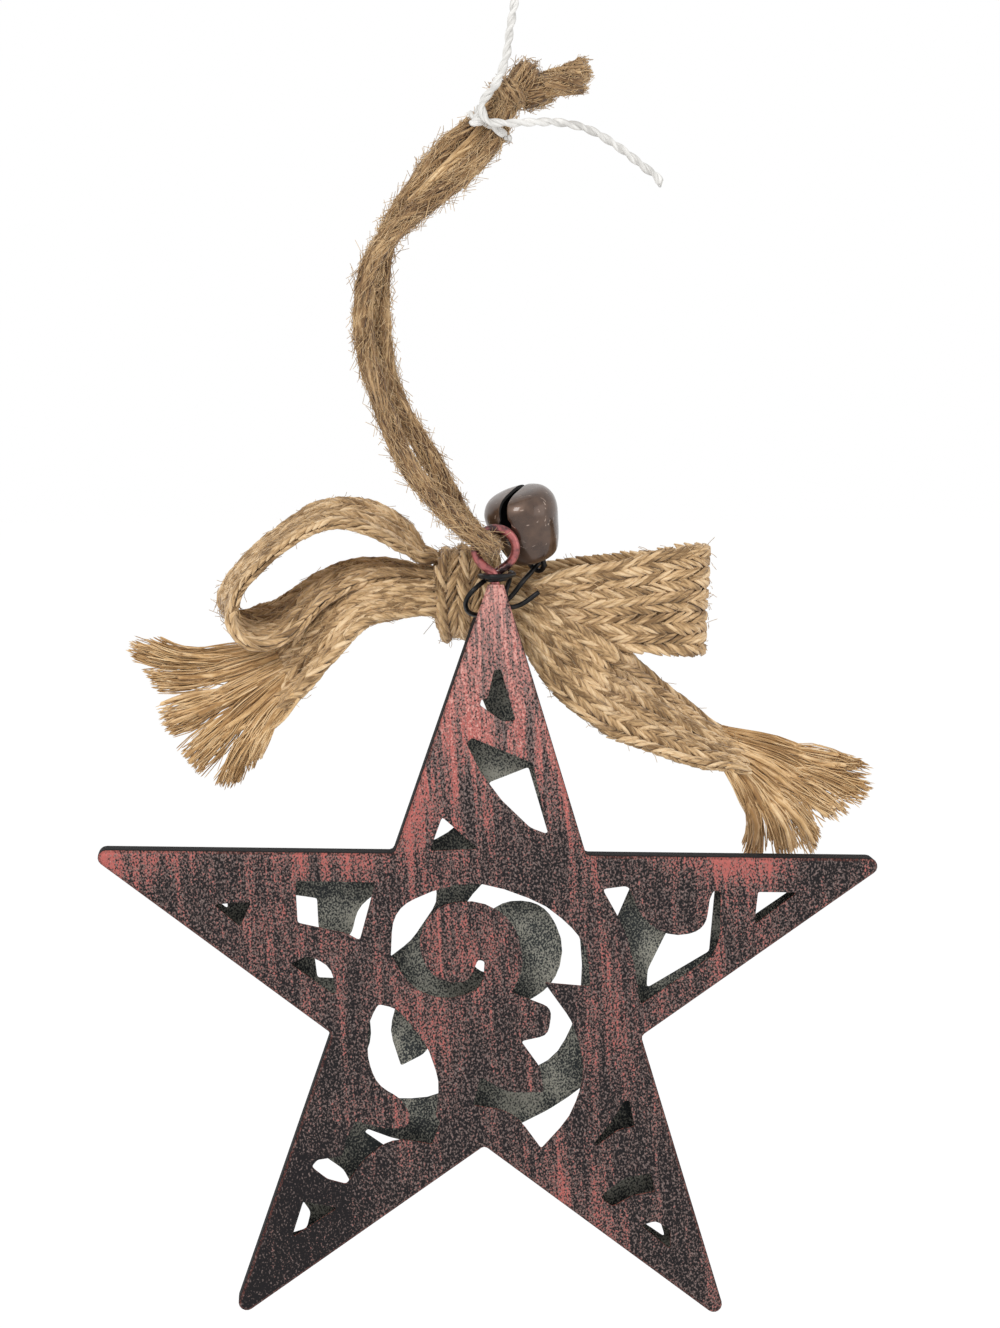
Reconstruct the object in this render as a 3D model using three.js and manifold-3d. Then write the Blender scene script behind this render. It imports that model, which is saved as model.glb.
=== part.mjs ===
// Hanging metal star: two pierced sheet-steel trays closed into one hollow star, a wire eye, a small
// jingle bell on a tie wire, a braided jute bow, a doubled twine hanger and a tied cotton thread.
// Units are millimetres. +Z is up, the star's front faces -Y, and the origin is the inside top of
// the thread's loop, where the ornament hangs.
import * as THREE from 'three';
import { mergeVertices } from 'three/addons/utils/BufferGeometryUtils.js';
import Module from 'manifold-3d';

const wasm = await Module();
wasm.setup();

// Clearance between pieces that touch
const GAP = 0.3;

// Star trays
const STAR_SPAN = 127;
const STAR_DEPTH = 6.4;
const SHEET = 0.5;
const POINTS = 5;
const TIP_RADIUS = 1.35;
const NOTCH_RADIUS = 0.8;
const PRESS_RADIUS = 0.9;
const FRONT_RIM = 5.2;
const BACK_RIM = 3.4;
const BACK_TURN = -360 / POINTS;
const TIP_CUT = 4.3;
const TIP_MOUTH = 10;
const STAR_LEAN = -1.15;

// Eye wire: its legs enter the top point one behind the other and their feet spread inside
const EYE_PLACE = [-3.47, 0, -99.07];
const EYE_WIRE = 1.5;
const EYE_RADIUS = 3.35;
const EYE_RISE = 5.6;
const NECK_PITCH = 1.9;
const FOOT_DEPTH = 9.6;
const FOOT_REACH = 1.9;

// Tie wire: its wraps lie on the neck between the eye and the star
const TIE_WIRE = 0.65;
const WRAP_TURNS = 1.6;
const WRAP_PITCH = 1.15;
const WRAP_CLIMB = 0.55;

// Bell
const BELL_RADIUS = 6.1;
const BELL_WALL = 0.5;
const BELL_SLOT = 1.3;
const SLOT_END = 2;
const BELL_PLACE = [1.8, 6.5, -95.6];
const BELL_AXIS = [-0.3, -0.22, 0.93];
const SLOT_AIM = [-0.49, -0.82, -0.3];
const STAPLE_WIRE = 0.9;
const STAPLE_HALF = 1.5;
const STAPLE_FACE = [0.62, 0.7, 0.36];
const PELLET_RADIUS = 1.6;
const PELLET_DROP = 2.6;

// Braided ribbon of the bow
const RIBBON_WIDTH = 18;
const RIBBON_THICK = 1.8;
const KNOT_SIZE = [11.6, 11.4, 15.4];
const KNOT_PLACE = [-7.3, 11.9, -106.8];
const FIBRE = 0.7;
const FIBRES_PER_END = 40;

// Twine hanger and cotton thread
const TWINE = 3.2;
const SWING_GAP = 0.6;
const THREAD = 1.3;
const THREAD_LOOP = 3.4;

// Star proportions that follow from its span
const HALF_TIP = Math.PI / (2 * POINTS);
const STEP = (2 * Math.PI) / POINTS;
const TIP_REACH = STAR_SPAN / (2 * Math.cos(HALF_TIP));
const SHARP_REACH = TIP_REACH + TIP_RADIUS * (1 / Math.sin(HALF_TIP) - 1);
const NOTCH_REACH = (SHARP_REACH * Math.cos(STEP)) / Math.cos(STEP / 2);
const TIP_TOP = SHARP_REACH - TIP_CUT;

// The star hangs from its eye, so its centre lies under the eye
const STAR_TURN = new THREE.Euler(Math.PI / 2, 0, THREE.MathUtils.degToRad(STAR_LEAN));
const EYE_HEIGHT = new THREE.Vector3(0, TIP_TOP + EYE_RISE, 0).applyEuler(STAR_TURN);
const STAR_PLACE = new THREE.Vector3(...EYE_PLACE).sub(EYE_HEIGHT);

// Materials
const COPPER_BLACK = finish(0x4b302d, 0.55, 0.35);
const MOTTLED = finish(0x3d3f38, 0.6, 0.4);
const COPPER = finish(0x8a4741, 0.4, 0.55);
const BLACK_WIRE = finish(0x18181b, 0.35, 0.5);
const BRONZE = finish(0x5f4d43, 0.25, 0.6);
const STEEL = finish(0x8f9296, 0.3, 1);
const JUTE = finish(0xb58f5c, 0.9, 0);
const TWINE_BROWN = finish(0x95744b, 0.95, 0);
const COTTON = finish(0xebe9e4, 0.9, 0);

function finish(color, roughness, metalness) {
  return new THREE.MeshStandardMaterial({ color, roughness, metalness });
}

function vector([x, y, z]) {
  return new THREE.Vector3(x, y, z);
}

function piece(name, geometry, material) {
  const mesh = new THREE.Mesh(geometry, material.clone());
  mesh.name = name;
  return mesh;
}

// A closed geometry as a solid for joining and cutting
function solid(geometry) {
  const bare = geometry.clone();
  bare.deleteAttribute('normal');
  bare.deleteAttribute('uv');
  const welded = mergeVertices(bare);
  const mesh = new wasm.Mesh({
    numProp: 3,
    vertProperties: new Float32Array(welded.attributes.position.array),
    triVerts: new Uint32Array(welded.index.array),
  });
  return new wasm.Manifold(mesh);
}

function geometryOf(shape) {
  const mesh = shape.getMesh();
  const geometry = new THREE.BufferGeometry();
  geometry.setAttribute('position', new THREE.BufferAttribute(mesh.vertProperties, 3));
  geometry.setIndex(new THREE.BufferAttribute(mesh.triVerts, 1));
  return geometry;
}

// Several geometries as one body, keeping its outer skin without voids between strands
function joined(geometries) {
  const sum = geometries.map(solid).reduce((body, next) => body.add(next));
  const skins = sum.decompose().sort((a, b) => b.volume() - a.volume());
  return geometryOf(skins[0]);
}

// A closed body through rings of points whose ends are flat faces of the given outlines
function loft(rings, firstFace, lastFace) {
  const count = rings[0].length;
  const index = [];
  for (let k = 0; k + 1 < rings.length; k += 1) {
    for (let i = 0; i < count; i += 1) {
      const a = k * count + i;
      const b = k * count + ((i + 1) % count);
      index.push(a, b, b + count);
      index.push(a, b + count, a + count);
    }
  }
  const last = (rings.length - 1) * count;
  for (const [a, b, c] of THREE.ShapeUtils.triangulateShape(firstFace, [])) {
    index.push(c, b, a);
  }
  for (const [a, b, c] of THREE.ShapeUtils.triangulateShape(lastFace, [])) {
    index.push(last + a, last + b, last + c);
  }
  const geometry = new THREE.BufferGeometry();
  geometry.setFromPoints(rings.flat());
  geometry.setIndex(index);
  return geometry;
}

// A round wire, thread or cord along a smooth route
function cord(points, diameter, sides, steps) {
  const section = new THREE.Shape();
  section.absarc(0, 0, diameter / 2, 0, 2 * Math.PI);
  const route = new THREE.CatmullRomCurve3(points);
  const half = sides / 2;
  return new THREE.ExtrudeGeometry(section, { steps, curveSegments: half, extrudePath: route });
}

function lump([x, y, z], [rx, ry, rz]) {
  return new THREE.SphereGeometry(1, 10, 7).scale(rx, ry, rz).translate(x, y, z);
}

// Least clear distance between parts of one wire that are not neighbours along it
function selfGap(points, diameter) {
  const samples = new THREE.CatmullRomCurve3(points).getSpacedPoints(160);
  const spacing = samples[0].distanceTo(samples[1]);
  const apart = Math.ceil((3 * diameter) / spacing);
  let least = Infinity;
  samples.forEach((p, i) => {
    for (let j = i + apart; j < samples.length; j += 1) {
      least = Math.min(least, p.distanceTo(samples[j]) - diameter);
    }
  });
  return least;
}

// Star outline drawn in from its edge by an inset, with as many points at every inset
function starOutline(inset) {
  const outline = [];
  const tipRadius = Math.max(TIP_RADIUS - inset, 0.1);
  const tipCentre = SHARP_REACH - (inset + tipRadius) / Math.sin(HALF_TIP);
  const notchCentre = NOTCH_REACH + NOTCH_RADIUS / Math.cos(STEP / 2);
  const addArc = (direction, centre, radius, from, to, steps) => {
    for (let s = 0; s <= steps; s += 1) {
      const a = direction + from + ((to - from) * s) / steps;
      const x = centre * Math.cos(direction) + radius * Math.cos(a);
      const y = centre * Math.sin(direction) + radius * Math.sin(a);
      outline.push(new THREE.Vector2(x, y));
    }
  };
  for (let k = 0; k < POINTS; k += 1) {
    const tip = Math.PI / 2 + STEP * k;
    addArc(tip, tipCentre, tipRadius, -STEP, STEP, 6);
    addArc(tip + STEP / 2, notchCentre, -(NOTCH_RADIUS + inset), STEP / 2, -STEP / 2, 2);
  }
  return outline;
}

// A closed outline through corners [x, y, radius], where wide radii run on into flowing curves
function rounded(corners) {
  const outline = [];
  const count = corners.length;
  corners.forEach(([x, y, radius], i) => {
    const corner = new THREE.Vector2(x, y);
    const before = new THREE.Vector2(...corners[(i + count - 1) % count]).sub(corner);
    const after = new THREE.Vector2(...corners[(i + 1) % count]).sub(corner);
    const open = before.angleTo(after);
    const room = Math.min(before.length(), after.length()) / 2;
    const reach = Math.min(radius / Math.tan(open / 2), room);
    const start = corner.clone().addScaledVector(before.normalize(), reach);
    const end = corner.clone().addScaledVector(after.normalize(), reach);
    const perTurn = reach < 2 ? 9 : 14;
    const turn = ((Math.PI - open) / Math.PI) * perTurn;
    const steps = reach < 0.6 ? 2 : Math.max(2, Math.round(turn));
    outline.push(...new THREE.QuadraticBezierCurve(start, corner, end).getPoints(steps));
  });
  return outline.filter((p, i) => p.distanceTo(outline[(i + 1) % outline.length]) > 0.02);
}

// Scroll-and-leaf piercing of the stamping, seen from the front about the star's centre
const PIERCING = {
  topWedge: [[0, 51.7, 0.3], [1.1, 51.7, 0.3], [3.7, 43.4, 0.4], [1.5, 43.3, 2],
    [-2.2, 45.9, 0.4], [-2.0, 46.8, 0.3], [-1.0, 47.1, 0.6]],
  topLeaf: [[-4.3, 39.7, 0.5], [-3.4, 40.6, 0.4], [6.6, 36.6, 0.8], [9.4, 24.9, 0.5],
    [6.4, 26.0, 3], [1.7, 30.4, 4], [-1.9, 35.0, 1.5]],
  topCorner: [[-8.0, 27.6, 0.3], [-1.9, 22.4, 0.4], [-9.9, 22.0, 0.3]],
  leftWedge: [[-44.8, 12.9, 0.3], [-38.7, 13.4, 0.3], [-40.4, 9.2, 0.4]],
  leftPanel: [[-31.6, 16.9, 0.4], [-18.6, 16.8, 0.4], [-21.0, 7.2, 0.4], [-23.0, 8.3, 1],
    [-31.1, 10.0, 0.5]],
  leftLens: [[-32.2, 3.3, 0.3], [-29.4, 4.7, 2], [-25.6, 3.0, 4], [-24.6, -1.4, 0.4],
    [-25.2, -1.7, 0.3]],
  rightWedge: [[43.9, 15.9, 0.3], [50.4, 15.9, 0.3], [43.4, 10.4, 0.4]],
  rightPocket: [[18.4, 16.1, 0.4], [22.6, 16.7, 1.2], [25.2, 10.9, 9], [30.0, 8.2, 9],
    [35.4, 9.6, 4], [36.0, 14.6, 2], [36.6, 16.1, 0.7], [37.8, 16.0, 0.7], [37.9, 8.0, 9],
    [36.6, 5.2, 1.5], [25.0, -3.0, 0.5], [23.9, 3.6, 20], [22.2, 9.6, 20]],
  legWedge: [[-29.5, -35.9, 0.4], [-23.8, -36.9, 0.3], [-31.3, -42.0, 0.4]],
  legThorn: [[22.8, -18.8, 0.2], [23.6, -18.8, 0.3], [24.6, -23.1, 0.4], [21.9, -23.7, 2],
    [18.3, -26.5, 0.3], [18.0, -25.8, 0.3], [20.4, -22.7, 1]],
  legBar: [[19.8, -34.2, 0.4], [23.2, -31.6, 3], [27.4, -30.8, 0.4], [28.2, -33.9, 0.4],
    [24.4, -34.7, 3], [21.2, -36.5, 0.8], [19.2, -35.0, 0.5]],
  legDrop: [[26.0, -39.6, 0.3], [28.4, -38.8, 1.5], [30.9, -40.3, 1], [30.9, -43.6, 0.3]],
  leafBay: [[-17.8, -3.2, 0.6], [-14.6, -3.9, 4], [-9.8, -9.8, 9], [-7.6, -15.8, 9],
    [-8.0, -21.8, 1], [-7.3, -22.7, 0.5], [-8.6, -26.3, 0.5], [-15.2, -25.2, 9],
    [-19.8, -29.0, 9], [-22.5, -33.0, 0.6], [-25.6, -32.2, 2], [-28.3, -30.2, 0.5],
    [-27.3, -29.0, 0.8], [-23.2, -28.3, 0.8], [-22.7, -25.6, 2], [-21.2, -22.5, 0.4],
    [-16.5, -23.7, 6], [-12.8, -23.6, 1.5], [-12.2, -21.4, 2], [-14.2, -18.6, 4],
    [-17.8, -16.6, 9], [-19.4, -12.2, 9], [-19.4, -6.2, 9]],
  scroll: [[-15.9, 4.9, 0.3], [-15.7, 12.6, 12], [-3.6, 18.0, 16], [9.4, 13.4, 16],
    [16.2, 7.2, 12], [16.8, 0.0, 0.3], [9.2, 0.6, 0.2], [13.8, -5.6, 9], [16.6, -13.6, 12],
    [14.0, -21.6, 12], [9.3, -26.9, 0.3], [4.6, -20.7, 9], [-2.1, -19.8, 0.4],
    [-0.9, -15.0, 0.4], [3.4, -17.6, 6], [9.5, -17.5, 0.3], [8.8, -13.4, 3],
    [5.6, -9.1, 0.4], [10.0, -8.1, 2], [10.6, -3.6, 2], [3.9, -1.1, 0.4], [5.9, 3.2, 9],
    [4.5, 10.3, 9], [-1.6, 14.3, 9], [-9.4, 12.9, 9], [-11.9, 6.2, 9], [-8.6, 0.7, 9],
    [-3.2, 0.4, 9], [-1.7, 4.3, 0.5], [-0.6, 4.0, 0.5], [-0.8, -0.4, 9], [-6.5, -2.7, 9],
    [-12.6, -0.7, 9]],
};

// Pressed tray: a flat star face at z = 0 looking down, whose edge turns up into a rim
function tray(inset, rim) {
  const profile = [];
  const addBend = (radius, start, steps) => {
    for (let s = 0; s <= steps; s += 1) {
      const a = (Math.PI / 2) * (s / steps);
      profile.push([start + radius * (1 - Math.sin(a)), start + radius * (1 - Math.cos(a))]);
    }
  };
  addBend(PRESS_RADIUS, 0, 3);
  profile.push([0, rim], [SHEET, rim]);
  const inside = profile.length;
  addBend(PRESS_RADIUS - SHEET, SHEET, 2);
  profile.push(...profile.splice(inside).reverse());
  const outlines = profile.map(([draw]) => starOutline(inset + draw));
  const rings = outlines.map((ring, k) => ring.map((p) => vector([p.x, p.y, profile[k][1]])));
  return loft(rings, outlines[0], outlines.at(-1));
}

// Star tray on its side of the star: pierced, cut blunt at the top and open there for the eye
function starTray(side, inset, rim, turn) {
  const face = (side * STAR_DEPTH) / 2;
  const pressed = tray(inset, rim).rotateY(side > 0 ? Math.PI : 0).translate(0, 0, face);
  const shapes = Object.values(PIERCING).map((corners) => new THREE.Shape(rounded(corners)));
  const punch = new THREE.ExtrudeGeometry(shapes, { depth: 2, bevelEnabled: false });
  punch.translate(0, 0, face - 1).rotateZ(THREE.MathUtils.degToRad(turn));
  const blunt = new THREE.BoxGeometry(20, 10, 40).translate(0, TIP_TOP + 5, 0);
  const mouth = new THREE.BoxGeometry(20, 20, STAR_DEPTH);
  mouth.translate(0, SHARP_REACH - TIP_MOUTH + 10, -side * SHEET);
  return geometryOf([punch, blunt, mouth].reduce((body, cut) => body.subtract(solid(cut)),
    solid(pressed)));
}

// Eye: one wire from a foot inside the point, up, once round, and down to the other foot
function hangingEye() {
  const centre = TIP_TOP + EYE_RISE;
  const neck = TIP_TOP + 1.5;
  const foot = TIP_TOP - FOOT_DEPTH;
  const spread = (STAR_DEPTH - EYE_WIRE) / 2 - SHEET - GAP;
  const leg = (side) => [
    vector([side * FOOT_REACH, foot - 0.4, -side * spread]),
    vector([side * 0.9, foot, -side * spread]),
    vector([0, foot + 1.6, -side * spread]),
    vector([0, foot + 5, (-side * (spread + NECK_PITCH / 2)) / 2]),
    vector([0, neck - 2, (-side * NECK_PITCH) / 2]),
    vector([side * 0.15, neck, (-side * NECK_PITCH) / 2]),
  ];
  const ring = [];
  for (let s = 0; s <= 9; s += 1) {
    const a = THREE.MathUtils.degToRad(-124 - (292 * s) / 9);
    const z = (NECK_PITCH / 2) * (1 - (2 * s) / 9);
    ring.push(vector([EYE_RADIUS * Math.cos(a), centre + EYE_RADIUS * Math.sin(a), z]));
  }
  return cord([...leg(-1), ...ring, ...leg(1).reverse()], EYE_WIRE, 8, 54);
}

// Where a point of the star's own frame lies in the frame of the whole ornament
function onStar([x, y, z]) {
  return vector([x, y, z]).applyEuler(STAR_TURN).add(STAR_PLACE);
}

// Tie wire: through the bell's staple, behind the point, round the neck and behind again
function tieRoute() {
  const neck = onStar([0, TIP_TOP + 0.65, 0]);
  const near = (EYE_WIRE + TIE_WIRE) / 2 + GAP;
  const wraps = [];
  for (let s = 0; s <= 16; s += 1) {
    const turn = (WRAP_TURNS * s) / 16;
    const a = Math.PI + 2 * Math.PI * turn;
    const x = (near + WRAP_PITCH * turn) * Math.cos(a);
    const y = (near + NECK_PITCH / 2 + WRAP_PITCH * turn) * Math.sin(a);
    wraps.push(vector([x, y, WRAP_CLIMB * turn]).add(neck));
  }
  const toBell = [[5.4, 9.9, -102.5], [5.0, 9.5, -101.7], [3.9, 8.1, -102.2], [2.9, 6.6, -103.2],
    [1.3, 5.5, -104.8], [-0.8, 5.3, -107.4], [-3.4, 5.1, -109.3], [-6.0, 4.1, -110.1],
    [-7.9, 1.9, -109.3], [-8.3, 0, -107.6], [-7.4, -1.6, -105.9]];
  const tail = [[-0.9, 3.9, -104.3], [-1.6, 3.9, -106.6], [-1.2, 3.9, -108.8],
    [0.8, 4.1, -108.5], [3.9, 4.2, -106.4]];
  return [...toBell.map(vector), ...wraps, ...tail.map(vector)];
}

// Bell: a drawn shell slotted over its pole, with a round hole at each end of the slot
function bellProfile() {
  const r = BELL_RADIUS;
  const sweep = [[0.43, -0.98], [0.62, -0.88], [0.76, -0.6], [0.9, -0.1], [0.99, 0.36],
    [0.96, 0.63], [0.8, 0.87], [0.52, 0.98]];
  const curve = new THREE.SplineCurve(sweep.map(([x, y]) => new THREE.Vector2(x * r, y * r)));
  return [new THREE.Vector2(0, -0.98 * r), ...curve.getPoints(10), new THREE.Vector2(0, 1.01 * r)];
}

function bellShell() {
  const outside = new THREE.LatheGeometry(bellProfile(), 20).rotateX(Math.PI / 2);
  const inside = outside.clone().scale(...Array(3).fill(1 - BELL_WALL / BELL_RADIUS));
  const slotBase = 0.42 * BELL_RADIUS;
  const slot = new THREE.BoxGeometry(3 * BELL_RADIUS, BELL_SLOT, BELL_RADIUS);
  slot.translate(0, 0, slotBase + BELL_RADIUS / 2);
  const ends = new THREE.CylinderGeometry(SLOT_END / 2, SLOT_END / 2, 3 * BELL_RADIUS, 12);
  ends.rotateZ(Math.PI / 2).translate(0, 0, slotBase);
  const cuts = [inside, slot, ends, ...staplePoints().map(([u, v]) => {
    const hole = new THREE.CylinderGeometry(1, 1, 2, 12).rotateX(Math.PI / 2);
    const radius = STAPLE_WIRE / 2 + GAP;
    return hole.scale(radius, radius, 1).translate(u, v, -0.95 * BELL_RADIUS);
  })];
  return geometryOf(cuts.reduce((body, cut) => body.subtract(solid(cut)), solid(outside)));
}

// The bell's own frame: z along its axis to the slotted pole, x along the slot
function bellBasis() {
  const axis = vector(BELL_AXIS).normalize();
  const across = axis.clone().cross(vector(SLOT_AIM)).normalize();
  return new THREE.Matrix4().makeBasis(across.clone().cross(axis), across, axis);
}

// Direction in which the staple's two legs stand apart, in the bell's frame
function stapleSpread() {
  const local = vector(STAPLE_FACE).applyMatrix4(bellBasis().invert());
  return new THREE.Vector2(-local.y, local.x).normalize().multiplyScalar(STAPLE_HALF);
}

function staplePoints() {
  const spread = stapleSpread();
  return [[spread.x, spread.y], [-spread.x, -spread.y]];
}

function stapleRoute() {
  const spread = stapleSpread();
  const end = -0.98 * BELL_RADIUS;
  const floor = end * (1 - BELL_WALL / BELL_RADIUS) + STAPLE_WIRE / 2 + GAP;
  const at = (u, z) => vector([(spread.x * u) / STAPLE_HALF, (spread.y * u) / STAPLE_HALF, z]);
  const leg = [[2.4, floor + 0.15], [1.75, floor + 0.05], [1.5, floor - 0.45], [1.5, end - 0.3],
    [1.35, end - 1.2], [0.75, end - 1.9]];
  const right = leg.map(([u, z]) => at(u, z));
  const left = leg.map(([u, z]) => at(-u, z)).reverse();
  return [...right, at(0, end - 2.15), ...left];
}

// A flat strip through stations [centre, width direction, width], with thin rounded edges
function ribbon(stations, steps) {
  const centre = new THREE.CatmullRomCurve3(stations.map(([p]) => vector(p)));
  const width = new THREE.CatmullRomCurve3(stations.map(([, d, w]) =>
    vector(d).normalize().multiplyScalar(w / 2)));
  const sections = [];
  const rings = [];
  for (let s = 0; s <= steps; s += 1) {
    const tangent = centre.getTangent(s / steps);
    const across = width.getPoint(s / steps);
    const half = across.length();
    across.addScaledVector(tangent, -across.dot(tangent)).normalize();
    const normal = tangent.clone().cross(across);
    const t = RIBBON_THICK / 2;
    const quarter = [[half, 0.4 * t], [half - 0.5, t], [0, t * 1.0001], [0.5 - half, t],
      [-half, 0.4 * t]];
    const outline = [...quarter, ...quarter.map(([x, y]) => [-x, -y])];
    sections.push(outline.map(([x, y]) => new THREE.Vector2(x, y)));
    rings.push(outline.map(([x, y]) => centre.getPoint(s / steps)
      .addScaledVector(across, x).addScaledVector(normal, y)));
  }
  return loft(rings, sections[0], sections.at(-1));
}

// The roots of the ribbon's loops and tails stop short of the knot's two sides
const LEFT_ROOT = KNOT_PLACE[0] - KNOT_SIZE[0] / 2 - GAP;
const RIGHT_ROOT = KNOT_PLACE[0] + KNOT_SIZE[0] / 2 + GAP;

const LEFT_LOOP = [
  [[LEFT_ROOT, 13.3, -101.0], [0, 1, 0.1], 6.5],
  [[-14.9, 13.3, -100.7], [0.05, 1, 0.2], 7],
  [[-17.4, 12.9, -98.0], [0.14, 0.85, 0.4], 9],
  [[-22.5, 12.0, -94.9], [0.12, 0.94, 0.3], 13.5],
  [[-27.2, 12.1, -93.7], [0.07, 0.97, 0.23], 16],
  [[-32.2, 12.6, -94.4], [0.03, 0.98, 0.18], RIBBON_WIDTH],
  [[-37.8, 12.7, -97.8], [-0.05, 0.99, 0.1], RIBBON_WIDTH],
  [[-42.6, 12.7, -101.8], [-0.13, 0.99, 0.03], RIBBON_WIDTH],
  [[-46.2, 12.7, -106.2], [-0.15, 0.99, -0.03], RIBBON_WIDTH],
  [[-47.0, 12.7, -109.6], [-0.12, 0.99, 0.06], RIBBON_WIDTH],
  [[-45.2, 12.6, -111.8], [-0.08, 0.98, 0.2], RIBBON_WIDTH],
  [[-42.4, 12.5, -112.7], [-0.06, 0.95, 0.3], RIBBON_WIDTH],
  [[-39.2, 12.5, -112.0], [-0.06, 0.95, 0.3], RIBBON_WIDTH],
  [[-35.3, 12.8, -109.2], [-0.06, 0.97, 0.22], 17],
  [[-31.4, 13.0, -106.2], [-0.05, 0.98, 0.2], 15],
  [[-26.6, 13.6, -104.0], [-0.05, 0.97, 0.2], 12],
  [[-21.0, 14.2, -103.3], [0, 1, 0.2], 9.5],
  [[-15.2, 14.2, -104.0], [0, 1, 0.1], 8],
  [[LEFT_ROOT, 14.2, -104.1], [0, 1, 0.1], 7.5],
];

const LEFT_TAIL = [
  [[LEFT_ROOT, 7.0, -107.5], [0, 0, 1], 5.6],
  [[-15.0, 7.0, -107.5], [0, 0.1, 1], 5.6],
  [[-19.0, 6.7, -107.6], [0, 0.2, 1], 6.2],
  [[-25.3, 6.6, -109.0], [-0.1, 0.7, 0.7], 8],
  [[-29.2, 6.6, -111.6], [-0.2, 0.6, 0.75], 9],
  [[-33.4, 6.8, -115.6], [-0.25, 0.6, 0.75], 10.5],
  [[-37.0, 8.2, -119.0], [-0.4, 0.75, 0.5], 14],
  [[-39.6, 8.8, -120.9], [-0.5, 0.75, 0.4], 16.5],
];

const RIGHT_LOOP = [
  [[RIGHT_ROOT, 10.0, -107.4], [0, 0, 1], 6],
  [[0.4, 10.0, -107.4], [0, 0, 1], 6],
  [[3.8, 8.5, -108.9], [0, 0, 1], 9],
  [[9.6, 7.6, -109.2], [0.02, 0, 1], 13],
  [[17.5, 7.4, -109.1], [0.03, 0, 1], 15],
  [[25.0, 7.4, -108.4], [0.04, 0, 1], 17.2],
  [[30.3, 8.7, -108.2], [0.05, 0, 1], RIBBON_WIDTH],
  [[31.9, 11.4, -108.2], [0.05, 0, 1], RIBBON_WIDTH],
  [[30.3, 14.2, -108.3], [0.05, 0, 1], RIBBON_WIDTH],
  [[23.2, 15.4, -108.6], [0.04, 0, 1], 16.5],
  [[11.5, 15.2, -108.3], [0.02, 0, 1], 14],
  [[0.4, 14.3, -107.2], [0, 0, 1], 9.2],
  [[RIGHT_ROOT, 14.2, -107.2], [0, 0, 1], 9],
];

const RIGHT_TAIL = [
  [[RIGHT_ROOT, 7.3, -109.7], [0, 0, 1], 5.5],
  [[0.2, 7.2, -109.9], [0, 0, 1], 5.5],
  [[2.6, 6.6, -111.4], [0.15, 0, 1], 6.5],
  [[5.2, 5.7, -113.9], [0.33, 0, 0.94], 8.5],
  [[8.2, 4.9, -116.7], [0.42, 0.05, 0.9], 11],
  [[11.2, 4.5, -119.3], [0.45, 0.1, 0.87], 12.2],
  [[14.4, 4.5, -121.9], [0.48, 0.25, 0.78], 12.4],
  [[18.3, 7.8, -124.2], [0.57, 0.6, 0.5], 15],
  [[26.3, 10.6, -128.8], [0.47, 0.84, 0.27], 17],
  [[32.8, 11.8, -132.2], [0.44, 0.89, 0.15], RIBBON_WIDTH],
  [[38.0, 12.1, -134.0], [0.46, 0.88, 0.08], RIBBON_WIDTH],
];

// Bow knot: the ribbon's wrap about the roots of its loops, a barrel with a flat top and bottom
function bowKnot() {
  const [width, depth, height] = KNOT_SIZE;
  const outlineAt = (scale) => {
    const outline = [];
    for (let s = 0; s < 28; s += 1) {
      const a = (2 * Math.PI * s) / 28;
      const square = (v) => Math.sign(v) * Math.abs(v) ** 0.5;
      outline.push(new THREE.Vector2((scale * width * square(Math.cos(a))) / 2,
        (scale * depth * square(Math.sin(a))) / 2));
    }
    return outline;
  };
  const levels = [[-0.5, 0.72], [-0.47, 0.85], [-0.38, 0.95], [-0.2, 1], [0.2, 1], [0.38, 0.95],
    [0.47, 0.85], [0.5, 0.72]];
  const outlines = levels.map(([, scale]) => outlineAt(scale));
  const rings = outlines.map((ring, k) => ring.map((p) => vector([p.x, p.y, levels[k][0] * height])));
  return loft(rings, outlines[0], outlines.at(-1));
}

// Pseudo-random share from 0 to 1 that is the same at every build
function share(n) {
  const value = Math.sin(n * 12.9898) * 43758.5453;
  return value - Math.floor(value);
}

// Frayed end: fibres that fan out from a thin slice of the ribbon's end towards outline points
function fray(stations, outer, seed) {
  const route = new THREE.CatmullRomCurve3(stations.map(([p]) => vector(p)));
  const along = route.getTangent(1);
  const [end, direction, width] = stations.at(-1);
  const across = vector(direction).normalize();
  across.addScaledVector(along, -across.dot(along)).normalize();
  const start = vector(end).addScaledVector(along, GAP);
  const slice = ribbon([
    [start.toArray(), across.toArray(), width],
    [start.clone().addScaledVector(along, 1.2).toArray(), across.toArray(), width],
  ], 1);
  const rim = new THREE.CatmullRomCurve3(outer.map(vector));
  const section = new THREE.Shape([0, 1, 2].map((k) => new THREE.Vector2(
    (FIBRE / 2) * Math.cos((k * 2 * Math.PI) / 3), (FIBRE / 2) * Math.sin((k * 2 * Math.PI) / 3))));
  const through = along.clone().cross(across);
  const fibres = [];
  for (let i = 0; i < FIBRES_PER_END; i += 1) {
    const f = (i + 0.5) / FIBRES_PER_END;
    const layer = i % 2 ? 0.28 : -0.28;
    const root = start.clone().addScaledVector(across, (f - 0.5) * (width - 1.4));
    root.addScaledVector(along, 0.6).addScaledVector(through, layer * RIBBON_THICK);
    const tip = rim.getPoint(f).lerp(root, 0.38 * share(i + seed));
    tip.y += 0.4 * (root.y - end[1]) + (i % 2 ? 1 : -1) * (0.5 + share(i + seed + 50));
    const bow = root.clone().lerp(tip, 0.45);
    bow.addScaledVector(along, 0.12 * root.distanceTo(tip));
    const path = new THREE.CatmullRomCurve3([root, bow, tip]);
    fibres.push(new THREE.ExtrudeGeometry(section, { steps: 3, extrudePath: path }));
  }
  return joined([slice, ...fibres]);
}

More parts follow.
